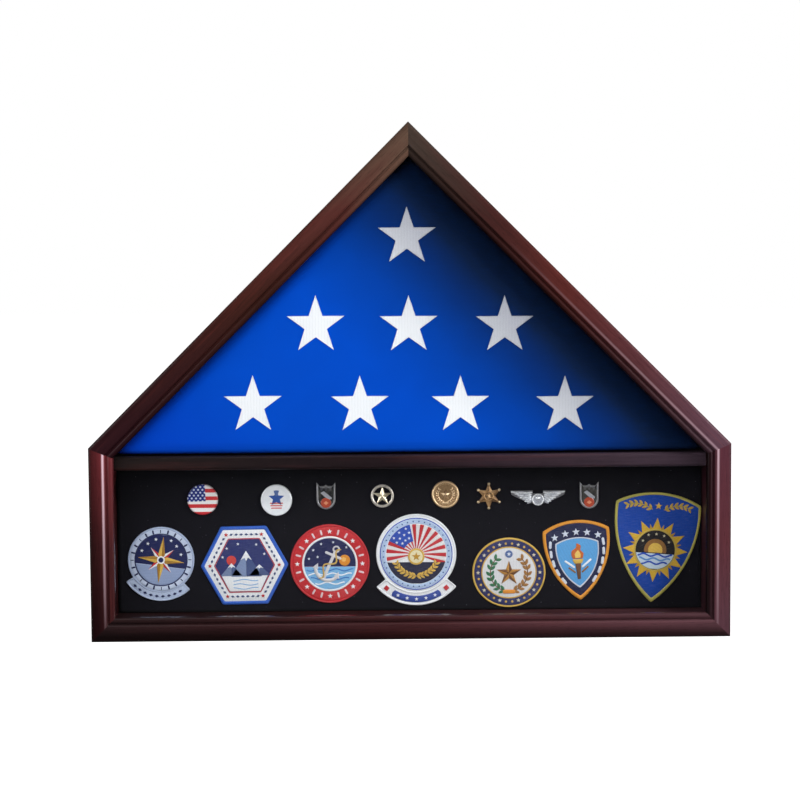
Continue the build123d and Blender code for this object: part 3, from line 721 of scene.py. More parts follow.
# Wood, glass and fittings: better finishes on the part's own pieces, which each row names
turn_buttons = " ".join(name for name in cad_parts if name.startswith("turn_button"))
finishes = {
    # In the cherry rows, the tones along each board and the table across it paint light, shade and
    # reflection into the colour, and the last triple, where given, a narrow painted highlight line.
    "bottom_board bead_bottom glass_stop_bottom": cherry(
        "cherry_bottom", 0.0, (-0.35, 0), [(38, 24, 25), (58, 29, 31), (84, 54, 60)],
        {0: 0.14, 5: 0.2, 9: 0.36, 13: 0.66, 16: 0.9, 19: 1, 20: 0.7, 28: 0.6},
        {0: 0, 12: 0.1, 17: 0.5, 28: 0.5},
    ),
    "side_board_left bead_side_left glass_stop_side_left": cherry(
        "cherry_side_left", 90.0, (-0.3555, 0.01), [(42, 16, 18), (60, 25, 27), (98, 38, 42)],
        {0: 0.16, 2: 0.24, 5: 0.38, 9: 0.5, 13: 0.8, 16: 1, 28: 1}, {0: 0, 13: 0.1, 16: 1, 28: 0.6},
        (16.2, 0.03, 0.85),
    ),
    "side_board_right bead_side_right glass_stop_side_right": cherry(
        "cherry_side_right", 90.0, (0.3555, 0.01), [(77, 48, 56), (76, 38, 44), (72, 37, 46)],
        {0: 0.6, 2: 0.8, 4: 1, 18: 1, 19: 0.35, 22: 0.26, 25: 0.12, 28: 0.05},
        {0: 0, 13: 0.1, 16: 1, 18: 0.2, 28: 0.05}, (15.0, 0.06, 0.5),
    ),
    "roof_board_left bead_roof_left glass_stop_roof_left": cherry(
        "cherry_roof_left", 45.0, (-0.3555, 0.216),
        [(38, 15, 20), (43, 19, 19), (48, 23, 18), (70, 35, 31), (84, 66, 54)],
        {0: 0.6, 3: 0.75, 9: 1, 17: 1, 21: 0.9, 28: 0.6}, {0: 0, 12: 0.08, 16: 0, 28: 0},
    ),
    "roof_board_right bead_roof_right glass_stop_roof_right": cherry(
        "cherry_roof_right", -45.0, (0.0, 0.5715),
        [(58, 47, 41), (54, 28, 26), (72, 31, 28), (74, 41, 45), (76, 52, 62)],
        {0: 0.9, 3: 1, 17: 1, 19: 0.5, 22: 0.45, 25: 0.3, 28: 0.1}, {0: 0, 13: 0.1, 16: 0.5, 18: 0, 28: 0},
        (15.6, -0.12, 0.24),
    ),
    "divider_shelf": cherry(
        "cherry_divider", 0.0, (-0.35, 0.1887), [(32, 26, 25), (32, 22, 26), (64, 50, 60)],
        {0: 1, 28: 1}, {0: 0.4, 28: 0.4}, (10.5, -0.06, 0.1),
    ),
    "glass_pane": pane(),
    "flag_pin": striped_button(-237.2, 150.23, 17.7),
    "star_button_pin": tin_button(),
    "apex_block corner_splines": plain_wood("pine", 0.0, (176, 132, 82), (222, 188, 140), 0.006, 0.6),
    "flag_back display_back": plain_wood("hardboard", 0.0, (92, 62, 42), (136, 96, 66), 0.05, 0.5),
    f"hanger_plate hanger_screws {turn_buttons}": metal(
        "zinc_steel", (190, 192, 196), 0.36, 0.3, (140, 142, 148)
    ),
    "button_screws": metal("brass", (206, 172, 96), 0.34, 0.1, (140, 106, 56)),
    "crest_pin_left crest_pin_right": badge_plate("pewter_plate", (74, 74, 78), 0.35),
    "ring_star_pin wings_pin": badge_plate("silver_plate", (128, 126, 132), 0.3),
    "medal_pin": badge_plate("gold_plate", (176, 138, 96), 0.32),
    "six_point_pin": badge_plate("bronze_plate", (120, 86, 54), 0.32),
    "bumper_left bumper_right": rubber(),
    "pin_board": foam(),
}
for names, finish in finishes.items():
    for name in names.split():
        for material_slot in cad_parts[name].material_slots:
            material_slot.material = finish

# Folded flag: rings round the triangle, from the back's middle over the layered rim to the front's
flag_base, flag_apex = 205.03, 543.2
flag_half = flag_apex - flag_base
flag_radius = flag_half / (1 + 2**0.5)  # of the circle that touches its three sides
flag_middle = complex(0, flag_base + flag_radius)
flag_layers = 8
star_places = [
    (-2.0, 446.5),
    (-103.8, 349.4), (-0.6, 348.6), (106.2, 347.8),
    (-174.5, 260.9), (-55.4, 259.9), (56.6, 259.1), (173.2, 258.1),
]


def flag_fall(at):
    """How far the flag's face falls back: a soft roll near each of the three sides, and shallow
    waves of the cloth."""
    x, z = np.real(at), np.imag(at)
    sides = ((x - z + flag_apex) / 2**0.5, (-x - z + flag_apex) / 2**0.5, z - flag_base)
    fall = sum(
        depth * np.clip(1 - side / width, 0, 1) ** 2.4
        for side, width, depth in zip(sides, (26.0, 60.0, 14.0), (4.0, 10.0, 2.5))
    )
    waves = 0.35 * np.sin((x + z) / 31.0) * np.sin((x - 0.6 * z) / 47.0) + 0.2 * np.sin((x - z) / 17.0 + 1.0)
    return fall + 0.5 + waves


def fold_flag():
    """The flag's bundle: one closed skin. Each ring is the rounded triangle drawn in towards its
    middle, and the rim bulges once for every folded layer."""
    corners = [complex(-flag_half, flag_base), complex(flag_half, flag_base), complex(0, flag_apex)]
    clearance, belly, back_level = 0.997, 0.8, 2.0 - flag_thickness
    outline = flag_middle + (polygon(corners, 480, 9.0) - flag_middle) * clearance
    level = np.linspace(0, 1, flag_layers * 6 + 1)[:, None]
    rim_inset = 2.4 - 1.5 * abs(np.sin(pi * level * flag_layers)) ** 0.6 + 4.0 * (2 * abs(level - 0.5)) ** 6
    front_rings = np.array([0.9, 0.86, 0.81, 0.75, 0.68, 0.6, 0.5, 0.4, 0.3, 0.2, 0.1])[:, None]
    back_rings = np.linspace(0.04, 0.96, 24)[:, None]
    share = np.vstack([back_rings, 1 - rim_inset / flag_radius, front_rings])
    plan = flag_middle + (outline - flag_middle) * share
    fold_over = back_rings * (outline - flag_middle)
    tuck = 0.5 + 0.5 * np.tanh((fold_over.real + fold_over.imag * 0.4 - 30) / 1.2)
    back = back_level - belly * (1 - back_rings**4) + 0.9 * tuck
    rim = np.tile(back_level * (1 - level) - level, len(outline))
    depth = np.vstack([back, rim, np.zeros((len(front_rings), len(outline)))])
    face_share = np.vstack([np.zeros_like(back_rings), level**2, np.ones_like(front_rings)])
    fold = Relief(0.0, flag_front, 0.0)
    out = depth - face_share * flag_fall(plan)
    fold.lay(plan, out, royal, closed(plan), (flag_middle, -flag_fall(flag_middle), flag_middle))
    last = plan[:1, ::-1]
    fold.lay(last, out[:1, ::-1], royal, closed(last), (flag_middle, back_level - belly, flag_middle))
    figure, over = star(33.8, 0.386, 200, 0.35), np.linspace(0, pi, 7)[:, None]
    for x, z in star_places:
        middle = complex(x, z)
        fold.pad(figure + middle, 0.0, 0.7, white, 0.0, 0.7, 0.1, middle, 1, flag_fall)
        hem = figure * (1 - 0.07 * (1 - np.cos(over)) / 2) + middle
        lie = lengths(closed(figure)) + 1j * over * 0.8
        fold.lay(hem, 0.45 + 0.55 * np.sin(over) - flag_fall(hem), white, lie, slot=1)
    return fold


flag_finishes = [flag_cloth(), thread("star_thread", 0.6, True)]
flag = fold_flag().made("flag_bundle", flag_finishes, "case", "flag_cloth")
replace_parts(flag, "folded_flag")

# Felt: a closed sheet drawn over the pin board, with a slight rise and fall
felt_low, felt_high, felt_half = 20.05, 187.7, 335.4
columns, rows = np.meshgrid(np.linspace(-felt_half, felt_half, 160), np.linspace(felt_low, felt_high, 48))
puff = 0.12 * np.sin(columns / 41) * np.sin(rows / 23) + 0.06 * np.sin(columns / 13 + rows / 19)
felt = Relief(0.0, felt_face, 0.0)
surface = columns + 1j * rows
felt.lay(surface, puff, soot, surface, looped=False)
felt.lay(surface[:, ::-1], np.full(surface.shape, -1.0), soot, surface[:, ::-1], looped=False)
rim, rim_puff = (
    np.concatenate([grid[0, :-1], grid[:-1, -1], grid[-1, :0:-1], grid[:0:-1, 0]])
    for grid in (surface, puff)
)
felt.lay(np.vstack([rim, rim]), np.vstack([np.full(len(rim), -1.0), rim_puff]), soot, closed(rim)[None, :])
felt_piece = felt.made("felt_sheet", [felt_cloth()], "display_back", "black_felt")
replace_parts(felt_piece, "felt_cover")

# Patches: cloth, fillings on its face and an overlocked edge, all in millimetres
cloth = 1.1
satin = thread("embroidery")


def patch(name):
    """A patch begun at its place on the felt, its base plane the face of its cloth."""
    x, z, lean = patch_places[name]
    return Relief(x, felt_face - cloth, z, lean)


def sewn(work, name):
    """The finished badge, in place of the part's plain plate."""
    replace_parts(work.made(f"{name}_badge", [satin], "display_back", "embroidery"), f"{name}_patch")


def edged(work, outline, inner, colour, edge, slant=20.0):
    """A cloth plate and the thick overlocked edge from its outline to an inner one."""
    work.slab(outline + (inner - outline) * 0.3, cloth, colour, slant)
    work.band(outline, inner, 0.1 - cloth, 1.7, edge, 0.8)


def small_stars(work, places, size, colour, level=0.0, height=0.55):
    """Small embroidered stars."""
    for at in places:
        work.pad(star(size, 0.42, 60, 0.12) + at, level, height, colour, 30.0, 0.25, 0.1, at)


def halved_point(work, angle, length, half_width, light, dark, level):
    """One point of a compass rose: a light and a dark half on each side of its middle line."""
    for side, colour in ((1, light), (-1, dark)):
        corners = np.array([0.0, complex(half_width, side * half_width), length])[::-side] * way(angle)
        work.pad(polygon(corners, 60, 0.15), level, 0.5, colour, angle + 50.0 * side, 0.3, 0.15)


def sprig(work, path, leaves, length, width, colour, stem, level):
    """A stem along a path with leaves in pairs that lean forwards."""
    work.ribbon(path, 1.2, level, 0.6, stem)
    for at in np.linspace(2, len(path) - 4, leaves).astype(int):
        root, following = path[at], path[min(at + 2, len(path) - 1)]
        for side in (-1, 1):
            angle = np.angle(following - root, deg=True) + 38 * side
            figure = leaf(root, root + length * way(angle), width)
            work.pad(figure, level, 0.6, colour, angle + 50 * side, 0.4, 0.2)


# Compass rose on a round patch with a small banner
work = patch("compass")
banner, lining = sector(36.2, 47.6, -90.0, 51.0, 200, 0.8), sector(38.0, 45.6, -90.0, 48.4, 200, 0.6)
edged(work, banner, lining, pale_blue, pale_blue)
for angle in np.linspace(-128, -52, 9):
    work.pad(lozenge(2.6, 1.7, angle + 90, 42.2 * way(angle)), 0.0, 0.5, navy, angle, 0.3)
edged(work, disc(38.2, 220), disc(35.7, 220), pale_blue, (178, 190, 222))
work.band(disc(35.6), disc(30.2), 0.0, 0.35, (206, 216, 240))
for angle in range(0, 360, 15):
    bar = capsule(*np.array([31.6, 34.4]) * way(angle + 7.5), 2.0 if angle % 45 else 1.1, 36)
    work.pad(bar, 0.2, 0.5, navy, angle, 0.3)
work.band(disc(30.6), disc(29.2), 0.0, 0.6, navy)
work.pad(chord(29.4, -7.0, 29.0), 0.0, 0.4, navy, 15.0)
work.pad(chord(29.4, -29.0, -7.4), 0.0, 0.4, (150, 166, 204), 100.0)
small_stars(work, [-17 + 17j, 16 + 18j, -8.5 + 23j, 9 + 23.5j, 22 + 9j, -23 + 8j], 2.2, white, 0.4)
for start, *point in ((45, 19.0, 3.6, white, red, 0.4), (0, 27.0, 4.4, gold, (176, 128, 44), 0.55)):
    for angle in range(start, 360, 90):
        halved_point(work, angle, *point)
work.band(disc(4.6, 60), disc(2.8, 60), 0.8, 0.5, white)
work.pad(disc(2.9, 40), 0.8, 0.45, navy, 0.0, 0.4)
sewn(work, "compass")

# Mountains under a night sky on a hexagon
work = patch("mountain")
hexagon = polygon([50.6, 26.2 + 45.3j, -26.2 + 45.3j, -50.6, -26.2 - 45.3j, 26.2 - 45.3j], 300, 1.1)
edged(work, hexagon, drawn_in(hexagon, 4.4, 45.0), white, (44, 96, 200), 0.0)
for step, at in enumerate(evened(drawn_in(hexagon, 9.4, 45.0), 42)):
    if step % 7:
        figure = lozenge(2.4, 1.5, np.angle(at, deg=True) + 90, at, 36)
        work.pad(figure, 0.0, 0.5, (70, 84, 130), 60.0, 0.3)
    else:
        small_stars(work, [at], 2.8, red)
work.band(drawn_in(hexagon, 13.7, 45.0), drawn_in(hexagon, 15.0, 45.0), 0.0, 0.7, (190, 60, 80))
work.pad(drawn_in(hexagon, 15.0, 45.0), 0.0, 0.3, (44, 52, 112), 0.0)
work.pad(disc(5.6, 60) + (-15 + 6j), 0.25, 0.4, (214, 70, 66), 40.0, 0.4)
snow = [-27.0 - 11j, -17.6 - 29.9j, 17.6 - 29.9j, 27.0 - 11j]
work.pad(polygon(snow, 120, 0.3), 0.2, 0.4, white, 8.0, 0.4)
for peak, half, low, tone, shade in (
    (-15 + 3j, 13.0, -12.0, slate, (74, 92, 140)),
    (17 + 1j, 13.0, -12.0, slate, (70, 86, 134)),
    (2 + 17j, 18.0, -13.0, (132, 150, 190), (60, 78, 130)),
):
    foot = complex(peak.real, low)
    work.pad(polygon([peak, foot - half, foot], 72, 0.2), 0.35, 0.5, tone, 62.0, 0.3)
    work.pad(polygon([peak, foot, foot + half], 72, 0.2), 0.35, 0.5, shade, 118.0, 0.3)
    down = (peak.imag - low) * 0.36
    sides = np.array([0, -0.36, -0.1, 0, 0.14, 0.36]) * half
    cap = peak + sides - down * np.array([0, 1j, 0.75j, 1.1j, 0.7j, 1j])
    work.pad(polygon(cap, 72, 0.15), 0.6, 0.5, white, 90.0, 0.25, 0.0, peak - down * 0.6j)
for level in (-17.0, -22.0, -26.5):
    work.ribbon(wave(np.linspace(-14, 16, 40), level, 0.9, 4.0), 1.1, 0.5, 0.4, sky)
small_stars(work, [-20 + 20j, -7 + 25j, 14 + 24j, 23 + 13j, -25 + 10j], 1.9, white, 0.3)
sewn(work, "mountain")

# Anchor on a red ring
work = patch("anchor")
edged(work, disc(45.7, 240), disc(43.1, 240), red, (206, 46, 54))
work.band(disc(43.2, 220), disc(31.6, 220), 0.0, 0.45, (204, 36, 44))
for angle in range(0, 360, 15):
    if angle % 45:
        bar = capsule(*np.array([35.2, 39.6]) * way(angle), 2.2, 36)
        work.pad(bar, 0.3, 0.45, (240, 214, 220), angle, 0.3)
    else:
        small_stars(work, [37.4 * way(angle)], 3.1, white, 0.3)
work.band(disc(32.0, 200), disc(29.6, 200), 0.0, 0.9, white)
work.pad(chord(29.8, -3.0, 29.4), 0.0, 0.35, (30, 34, 84), 10.0)
work.pad(chord(29.8, -29.4, -3.2), 0.0, 0.35, (128, 186, 232), 95.0)
for level, tone in ((-7.0, (60, 120, 196)), (-12.0, white), (-17.0, (60, 120, 196)), (-22.5, white)):
    reach = (28.4**2 - level**2) ** 0.5
    work.ribbon(wave(np.linspace(-reach, reach, 70), level, 1.2, 3.1), 1.6, 0.25, 0.4, tone)
small_stars(work, [-19 + 16j, -10 + 23j, 4 + 25j, 19 + 19j, -24 + 6j, -14 + 8j], 1.8, white, 0.3)
work.pad(disc(6.4, 70) + (17 + 4j), 0.3, 0.5, orange, 20.0, 0.5)
work.pad(disc(2.6, 40) + (16 + 5j), 0.75, 0.3, (250, 196, 110), 20.0, 0.4)
tilt, pale = way(-24), (226, 222, 226)
for start, end, wide in ((-19j, 15j, 3.6), (-9 + 10.5j, 9 + 10.5j, 3.0)):
    work.pad(capsule(start * tilt, end * tilt, wide, 72), 0.5, 0.8, pale, 66.0, 0.8)
work.band((disc(4.2, 60) + 18.4j) * tilt, (disc(2.3, 60) + 18.4j) * tilt, 0.5, 0.8, pale)
hook = arc(14.5, 202, 338) - 5j
work.ribbon(hook * tilt, 4.0, 0.5, 0.9, pale)
for end, side in ((hook[0], 1), (hook[-1], -1)):
    fluke = end + np.array([-3.4 * side - 1.5j, 0.6 * side + 6.0j, 3.6 * side - 0.8j])
    work.pad(polygon(fluke[::-side] * tilt, 60, 0.3), 0.6, 0.8, pale, 20.0, 0.4)
run = np.linspace(-1, 1, 90)
work.ribbon((run * 21j + 4.2 * np.sin(run * 6.0)) * way(-42), 1.9, 1.0, 0.6, (214, 176, 92))
sewn(work, "anchor")

# Sunburst of red and white rays with a starred banner
work = patch("sunburst")
banner, lining = sector(44.0, 59.9, -90.0, 50.5, 220, 0.8), sector(46.0, 57.6, -90.0, 48.4, 220, 0.6)
edged(work, banner, lining, white, white)
work.ribbon(arc(52.4, -122, -58, 80), 7.8, 0.0, 0.5, (48, 74, 160))
small_stars(work, arc(52.4, -114, -66, 5), 2.4, white, 0.45)
for angle in (-131, -49):
    block = np.array([2.6 + 2.6j, -2.6 + 2.6j, -2.6 - 2.6j, 2.6 - 2.6j]) * way(angle + 90)
    work.pad(polygon(block + 52.4 * way(angle), 48, 0.3), 0.0, 0.5, red, angle, 0.4)
edged(work, disc(46.2, 240), disc(43.4, 240), white, white)
work.band(disc(41.8, 200), disc(40.6, 200), 0.0, 0.5, royal)
work.band(disc(40.4, 200), disc(35.0, 200), 0.0, 0.4, (188, 208, 240))
for angle in np.arange(5, 360, 10):
    work.pad(disc(0.9, 24) + 37.7 * way(angle), 0.25, 0.4, (64, 88, 150), 0.0, 0.3)
for step, angle in enumerate(np.arange(-18, 200, 8.0)):
    ray = sector(5.0, 34.6, angle, 3.9, 90, 0.15)
    work.pad(ray, 0.0, 0.45, (240, 232, 234) if step % 2 else red, angle + 90, 0.35)
field = sector(15.0, 34.8, 128.0, 26.0, 140, 0.3)
work.pad(field, 0.35, 0.5, (48, 82, 184), 40.0, 0.4, 0.0, 25.0 * way(128))
for radius, angles in ((20, (114, 128, 142)), (26, (108, 122, 136, 149)), (31.6, (112, 128, 144))):
    small_stars(work, radius * way(angles), 1.9, white, 0.8)
work.pad(chord(34.8, -34.4, -9.5), 0.0, 0.5, (34, 34, 64), 0.0, 0.4)
for start, stop in ((-88, -156), (-92, -24)):
    sprig(work, arc(25.5, start, stop, 40), 7, 6.2, 2.6, gold, (190, 150, 70), 0.45)
work.band(disc(9.6, 90) - 3j, disc(7.4, 90) - 3j, 0.5, 0.8, gold)
work.pad(disc(7.5, 70) - 3j, 0.5, 0.5, (246, 232, 190), 45.0, 0.5)
small_stars(work, [-3j], 5.4, (200, 150, 52), 0.95, 0.5)
sewn(work, "sunburst")

# Star in a wreath on an oval
work = patch("wreath")
oval = evened(42.3 * np.cos(turns(400)) + 40.4j * np.sin(turns(400)), 240)
edged(work, oval, inset(oval, 2.4), navy, gold)
work.band(inset(oval, 2.4), inset(oval, 10.4), 0.0, 0.4, (40, 44, 98))
for step, at in enumerate(evened(inset(oval, 6.6), 30)):
    if step % 3:
        work.pad(disc(1.35, 24) + at, 0.25, 0.5, gold, 0.0, 0.4)
    else:
        small_stars(work, [at], 2.5, (232, 220, 190), 0.25)
work.band(inset(oval, 10.3), inset(oval, 11.7), 0.0, 0.8, gold)
work.pad(inset(oval, 11.7), 0.0, 0.3, (232, 230, 234), 0.0)
for start, stop, tone in ((262, 128, green), (-82, 52, (168, 118, 62))):
    sprig(work, arc(21.5, start, stop, 44), 8, 7.6, 3.6, tone, brown, 0.3)
tips = spokes(5, 15.0, 5.9)
for at, (tip, following) in enumerate(zip(tips, np.roll(tips, -1))):
    wedge = polygon(np.array([0.0, tip, following]) - 1j, 48, 0.12)
    tone = (120, 78, 48) if at % 2 else (196, 140, 66)
    work.pad(wedge, 0.4, 0.7, tone, np.angle(tip, deg=True) + 60, 0.3, 0.2)
work.pad(disc(4.4, 50) + 21.5j, 0.3, 0.6, (96, 118, 170), 45.0, 0.5)
small_stars(work, [21.5j], 2.6, white, 0.85)
work.pad(capsule(-5.5 - 22j, 5.5 - 22j, 4.6, 48), 0.6, 0.7, orange, 90.0, 0.8)
sewn(work, "wreath")

# Torch on a shield within a shield
work = patch("torch")
outer = shield(76.5, 10.8, 82.6, 31.5, 43.5)
edged(work, outer, drawn_in(outer, 3.8, 36.5, -26.0j), (26, 30, 70), (232, 152, 48), 0.0)
row = np.linspace(-25, 25, 5)
small_stars(work, row - 1j * (3.0 + 0.008 * row**2), 4.6, (226, 230, 244))
for side in (-1, 1):
    for x, z, angle in (
        (30.6, -16, 84), (30.4, -27, 92), (28.2, -38, 101), (24.0, -48.5, 113), (17.6, -58.5, 125),
    ):
        at, reach = complex(side * x, z), 2.9 * way(90 - side * (angle - 90))
        work.pad(capsule(at - reach, at + reach, 3.2, 40), 0.0, 0.5, (222, 226, 240), 20.0, 0.5)
small = shield(50.0, 6.0, 53.0, 20.6, 28.0, 0.6) - 15.0j
work.pad(small, 0.0, 0.35, (96, 168, 228), 25.0, 0.4, 0.0, -33j)
work.band(small, drawn_in(small, 1.5, 23.0, -32.0j), 0.0, 0.9, (214, 214, 226))
handle = polygon([-1.7 - 58j, 1.7 - 58j, 3.4 - 39j, -3.4 - 39j], 72, 0.3)
work.pad(handle, 0.3, 0.7, brown, 0.0, 0.6, 0.2)
bowl = polygon([-6.6 - 34.5j, -4.4 - 39.5j, 4.4 - 39.5j, 6.6 - 34.5j], 72, 0.4)
work.pad(bowl, 0.5, 0.7, gold, 90.0, 0.6, 0.2)
right_lick = [-5.6 - 34j, 5.6 - 34j, 7.2 - 28j, 3.2 - 24j, 4.6 - 19j]
left_lick = [-0.4 - 15.4j, -1.2 - 21j, -6.8 - 24.5j, -7.4 - 30j]
work.pad(polygon(right_lick + left_lick, 140, 0.9), 0.4, 0.7, (206, 104, 44), 85.0, 0.6, 0.0, -28j)
core = polygon([-3.2 - 33j, 3.2 - 33j, 3.4 - 28j, 0.6 - 23.5j, -3.6 - 28j], 90, 0.7)
work.pad(core, 0.9, 0.5, (246, 202, 104), 95.0, 0.6)
for side in (-1, 1):
    for start, end, wide, tone in (
        (5.0 - 43.5j, 14.5 - 36j, 2.4, white),
        (4.2 - 49.5j, 10.8 - 44j, 2.2, (150, 104, 64)),
    ):
        bar = capsule(complex(side * start.real, start.imag), complex(side * end.real, end.imag), wide)
        work.pad(bar, 0.35, 0.6, tone, 90.0, 0.6)
sewn(work, "torch")

# Sun over waves on a large shield
work = patch("sun")
outer = shield(98.4, 12.8, 115.3, 42.0, 55.5, 0.9, 300)
edged(work, outer, drawn_in(outer, 3.2, 45.5, -33.0j), (16, 68, 168), (186, 174, 84), 8.0)
sun_middle = -54.0j
for start, corners, count, soft, height, tone, slant, roll, crown in (
    (0, [37.5, 23.5 + 5.4j, 23.5 - 5.4j], 72, 0.25, 0.6, (222, 176, 56), 30.0, 0.4, 0.2),
    (15, [31.0, 24.0 + 2.2j, 24.0 - 2.2j], 48, 0.2, 0.5, (196, 150, 44), 60.0, 0.3, 0.1),
):
    for angle in range(start, start + 360, 30):
        ray = polygon(np.array(corners) * way(angle + 90) + sun_middle, count, soft)
        work.pad(ray, 0.0, height, tone, angle + slant, roll, crown)
work.pad(disc(24.4, 160) + sun_middle, 0.2, 0.4, (30, 26, 30), 30.0, 0.5, 0.0, sun_middle)
work.band(disc(24.8, 160) + sun_middle, disc(22.6, 160) + sun_middle, 0.2, 0.9, (206, 176, 82))
work.pad(chord(22.4, -22.0, -4.0) + sun_middle, 0.5, 0.35, (206, 222, 238), 100.0, 0.4)
for level, tone in ((-6.0, royal), (-10.5, (96, 150, 214)), (-15.0, royal)):
    reach = (21.4**2 - level**2) ** 0.5
    line = wave(np.linspace(-reach, reach, 60), level, 1.3, 2.6) + sun_middle
    work.ribbon(line, 2.2, 0.7, 0.5, tone)
work.pad(chord(13.0, -3.0, 12.8, 90) + sun_middle, 0.55, 0.5, (150, 104, 52), 60.0, 0.5)
work.pad(chord(8.4, -3.0, 8.2, 80) + sun_middle, 0.95, 0.4, (234, 190, 84), 60.0, 0.5)
above_sun = sun_middle + np.array([-15 + 10j, 15 + 10j, -9 + 17j, 9 + 17j, 18.5j])
small_stars(work, above_sun, 1.9, (226, 214, 180), 0.6)
bend = np.linspace(0, 1, 36)
for side in (-1, 1):
    stem = side * (6 + 31 * bend) + 1j * (-7.5 + 6.0 * np.sin(bend * 2.6))
    sprig(work, stem, 6, 6.4, 2.8, (206, 168, 72), olive, 0.1)
small_stars(work, [-3.0j], 4.4, (222, 182, 76))
sewn(work, "sun")

# Pins: raised work on the badges' own plates
cast = relief_metal("cast_metal", 0.22)
glaze = enamel("hard_enamel")


def pin(name):
    """Raised work begun on the face of a pin's plate."""
    x, z, stand = pin_places[name]
    return Relief(x, felt_face - stand, z)


work = pin("star_button_pin")
work.pad(star(9.6, 0.44, 120, 0.3) + 2.2j, 0.0, 0.12, (58, 92, 172), 0.0, 0.2, 0.0, 2.2j, 0)
work.pad(sector(3.0, 9.9, 90.0, 19.0, 60, 0.2) + 1.6j, 0.08, 0.08, (96, 118, 176), 0.0, 0.2)
for level, reach in ((-3.4, 7.0), (-6.2, 6.4), (-9.0, 5.6)):
    bar = capsule(complex(-reach, level), complex(reach, level), 1.6, 40)
    work.pad(bar, 0.0, 0.12, (226, 120, 120), 0.0, 0.2)
work.made("button_print", [glaze], "display_back", "enamel")

for name in ("crest_pin_left", "crest_pin_right"):
    work = pin(name)
    half = 10.9
    foot = arc_through(-half - 4.5j, -15.5j, half - 4.5j, 50)
    horns = [half + 15.5j, 7.4 + 11.5j, 2.2 + 11.5j, 13.3j, -2.2 + 11.5j, -7.4 + 11.5j, -half + 15.5j]
    crest = drawn_in(polygon(np.append(foot, horns), 220, 0.35), 0.15, half)
    work.band(crest, drawn_in(crest, 2.0, half, -1.0j), -0.1, 0.9, (138, 136, 142))
    work.pad(drawn_in(crest, 2.4, half, -1.0j), -0.05, 0.15, (40, 42, 46), 0.0, 0.2)
    work.pad(disc(6.0, 60) - 8.0j, 0.05, 0.75, (188, 74, 50), 0.0, 0.6, 0.2, slot=1)
    work.pad(lozenge(3.2, 2.4, 0, -8.0j), 0.7, 0.35, (234, 150, 110), 0.0, 0.3, slot=1)
    bar = polygon([-6.4 + 3.6j, -2.6 + 5.8j, 6.6 - 1.8j, 6.6 - 3.8j, 2.4 - 4.4j], 60, 0.3)
    work.pad(bar, 0.05, 0.7, (176, 176, 184), 0.0, 0.4, slot=1)
    for x in (-5.0, 0.0, 5.0):
        work.pad(leaf(complex(x, 5.6), complex(x * 1.06, 10.8), 2.6), 0.0, 0.6, (84, 84, 92), 0.0, 0.5)
    work.made(name.replace("pin", "relief"), [cast, glaze], "display_back", "pewter")

work = pin("ring_star_pin")
work.band(disc(13.3, 120), disc(10.3, 120), -0.1, 1.3, (206, 196, 186))
work.facets(spokes(5, 10.9, 4.25), 0.0, 1.7, 0.1, ((236, 222, 196), (160, 144, 116)))
work.made("ring_star_relief", [cast], "display_back", "silver_metal", smooth=False)

work = pin("medal_pin")
medal_tone, medal_dark = (244, 206, 160), (140, 100, 64)
work.band(disc(15.3, 140), disc(13.3, 140), -0.1, 0.8, medal_tone)
for angle in turns(40):
    work.ball(12.3 * np.exp(1j * angle), 0.42, 0.0, medal_tone)
for start, stop in ((264, 134), (-84, 46)):
    sprig(work, arc(9.4, start, stop, 36), 8, 3.0, 1.5, medal_tone, medal_dark, -0.1)
work.facets(spokes(5, 6.6, 2.7), 0.0, 1.2, 0.15, (medal_tone, medal_dark))
work.pad(capsule(-2.2 - 9.6j, 2.2 - 9.6j, 2.4, 40), 0.0, 0.8, medal_tone, 0.0, 0.7)
work.made("medal_relief", [cast], "display_back", "gold_metal")

work = pin("six_point_pin")
bronze, bronze_dark = (196, 150, 98), (118, 82, 48)
work.facets(spokes(6, 14.6, 7.0), 0.0, 1.5, 0.15, (bronze, bronze_dark))
for angle in range(90, 450, 60):
    work.ball(13.9 * way(angle), 1.55, -0.3, (216, 190, 150))
work.band(disc(5.4, 70), disc(4.2, 70), 0.9, 0.7, bronze)
work.pad(disc(4.3, 60), 0.8, 0.3, bronze_dark, 0.0, 0.3)
work.facets(spokes(5, 3.4, 1.35), 1.05, 0.6, 0.05, ((222, 196, 150), bronze))
work.made("six_point_relief", [cast], "display_back", "gold_metal", smooth=False)

work = pin("wings_pin")
silver, silver_dark = (250, 250, 255), (196, 198, 210)
lead = np.linspace(0, 1, 40)
feather_rows = (30.4, 8.2, 7, 3.3), (24.5, 5.0, 7, 2.9), (19.0, 2.0, 6, 2.6)
for side in (-1, 1):
    for row, (reach, drop, count, wide) in enumerate(feather_rows):
        for step, share in enumerate(np.linspace(0, 1, count)):
            root = complex(side * (6.4 + 1.2 * row), 5.6 - 1.9 * row - share * (7.4 - 2.1 * row))
            tip = complex(side * (reach - share * (reach - 12.5)), 7.2 - 2.2 * row - share * (drop + 5.0))
            # Alternate feathers in a lit and a shaded silver: painted light and shade.
            tone = silver if step % 2 else silver_dark
            work.pad(leaf(root, tip, wide), 0.18 * row - 0.1, 0.75, tone, 0.0, 0.7)
    edge = side * (6.0 + 25.0 * lead) + 1j * (6.9 + 0.7 * lead - 0.9 * np.sin(pi * lead))
    work.ribbon(edge[::side], 1.9, 0.2, 0.9, silver)
work.pad(disc(6.7, 90) - 1.5j, 0.0, 1.1, silver_dark, 0.0, 0.7)
work.band(disc(6.8, 90) - 1.5j, disc(5.4, 90) - 1.5j, 0.6, 1.0, silver)
work.facets(spokes(5, 4.6, 1.8), 1.0, 0.7, 0.05, (silver, silver_dark))
work.made("wings_relief", [cast], "display_back", "silver_metal")

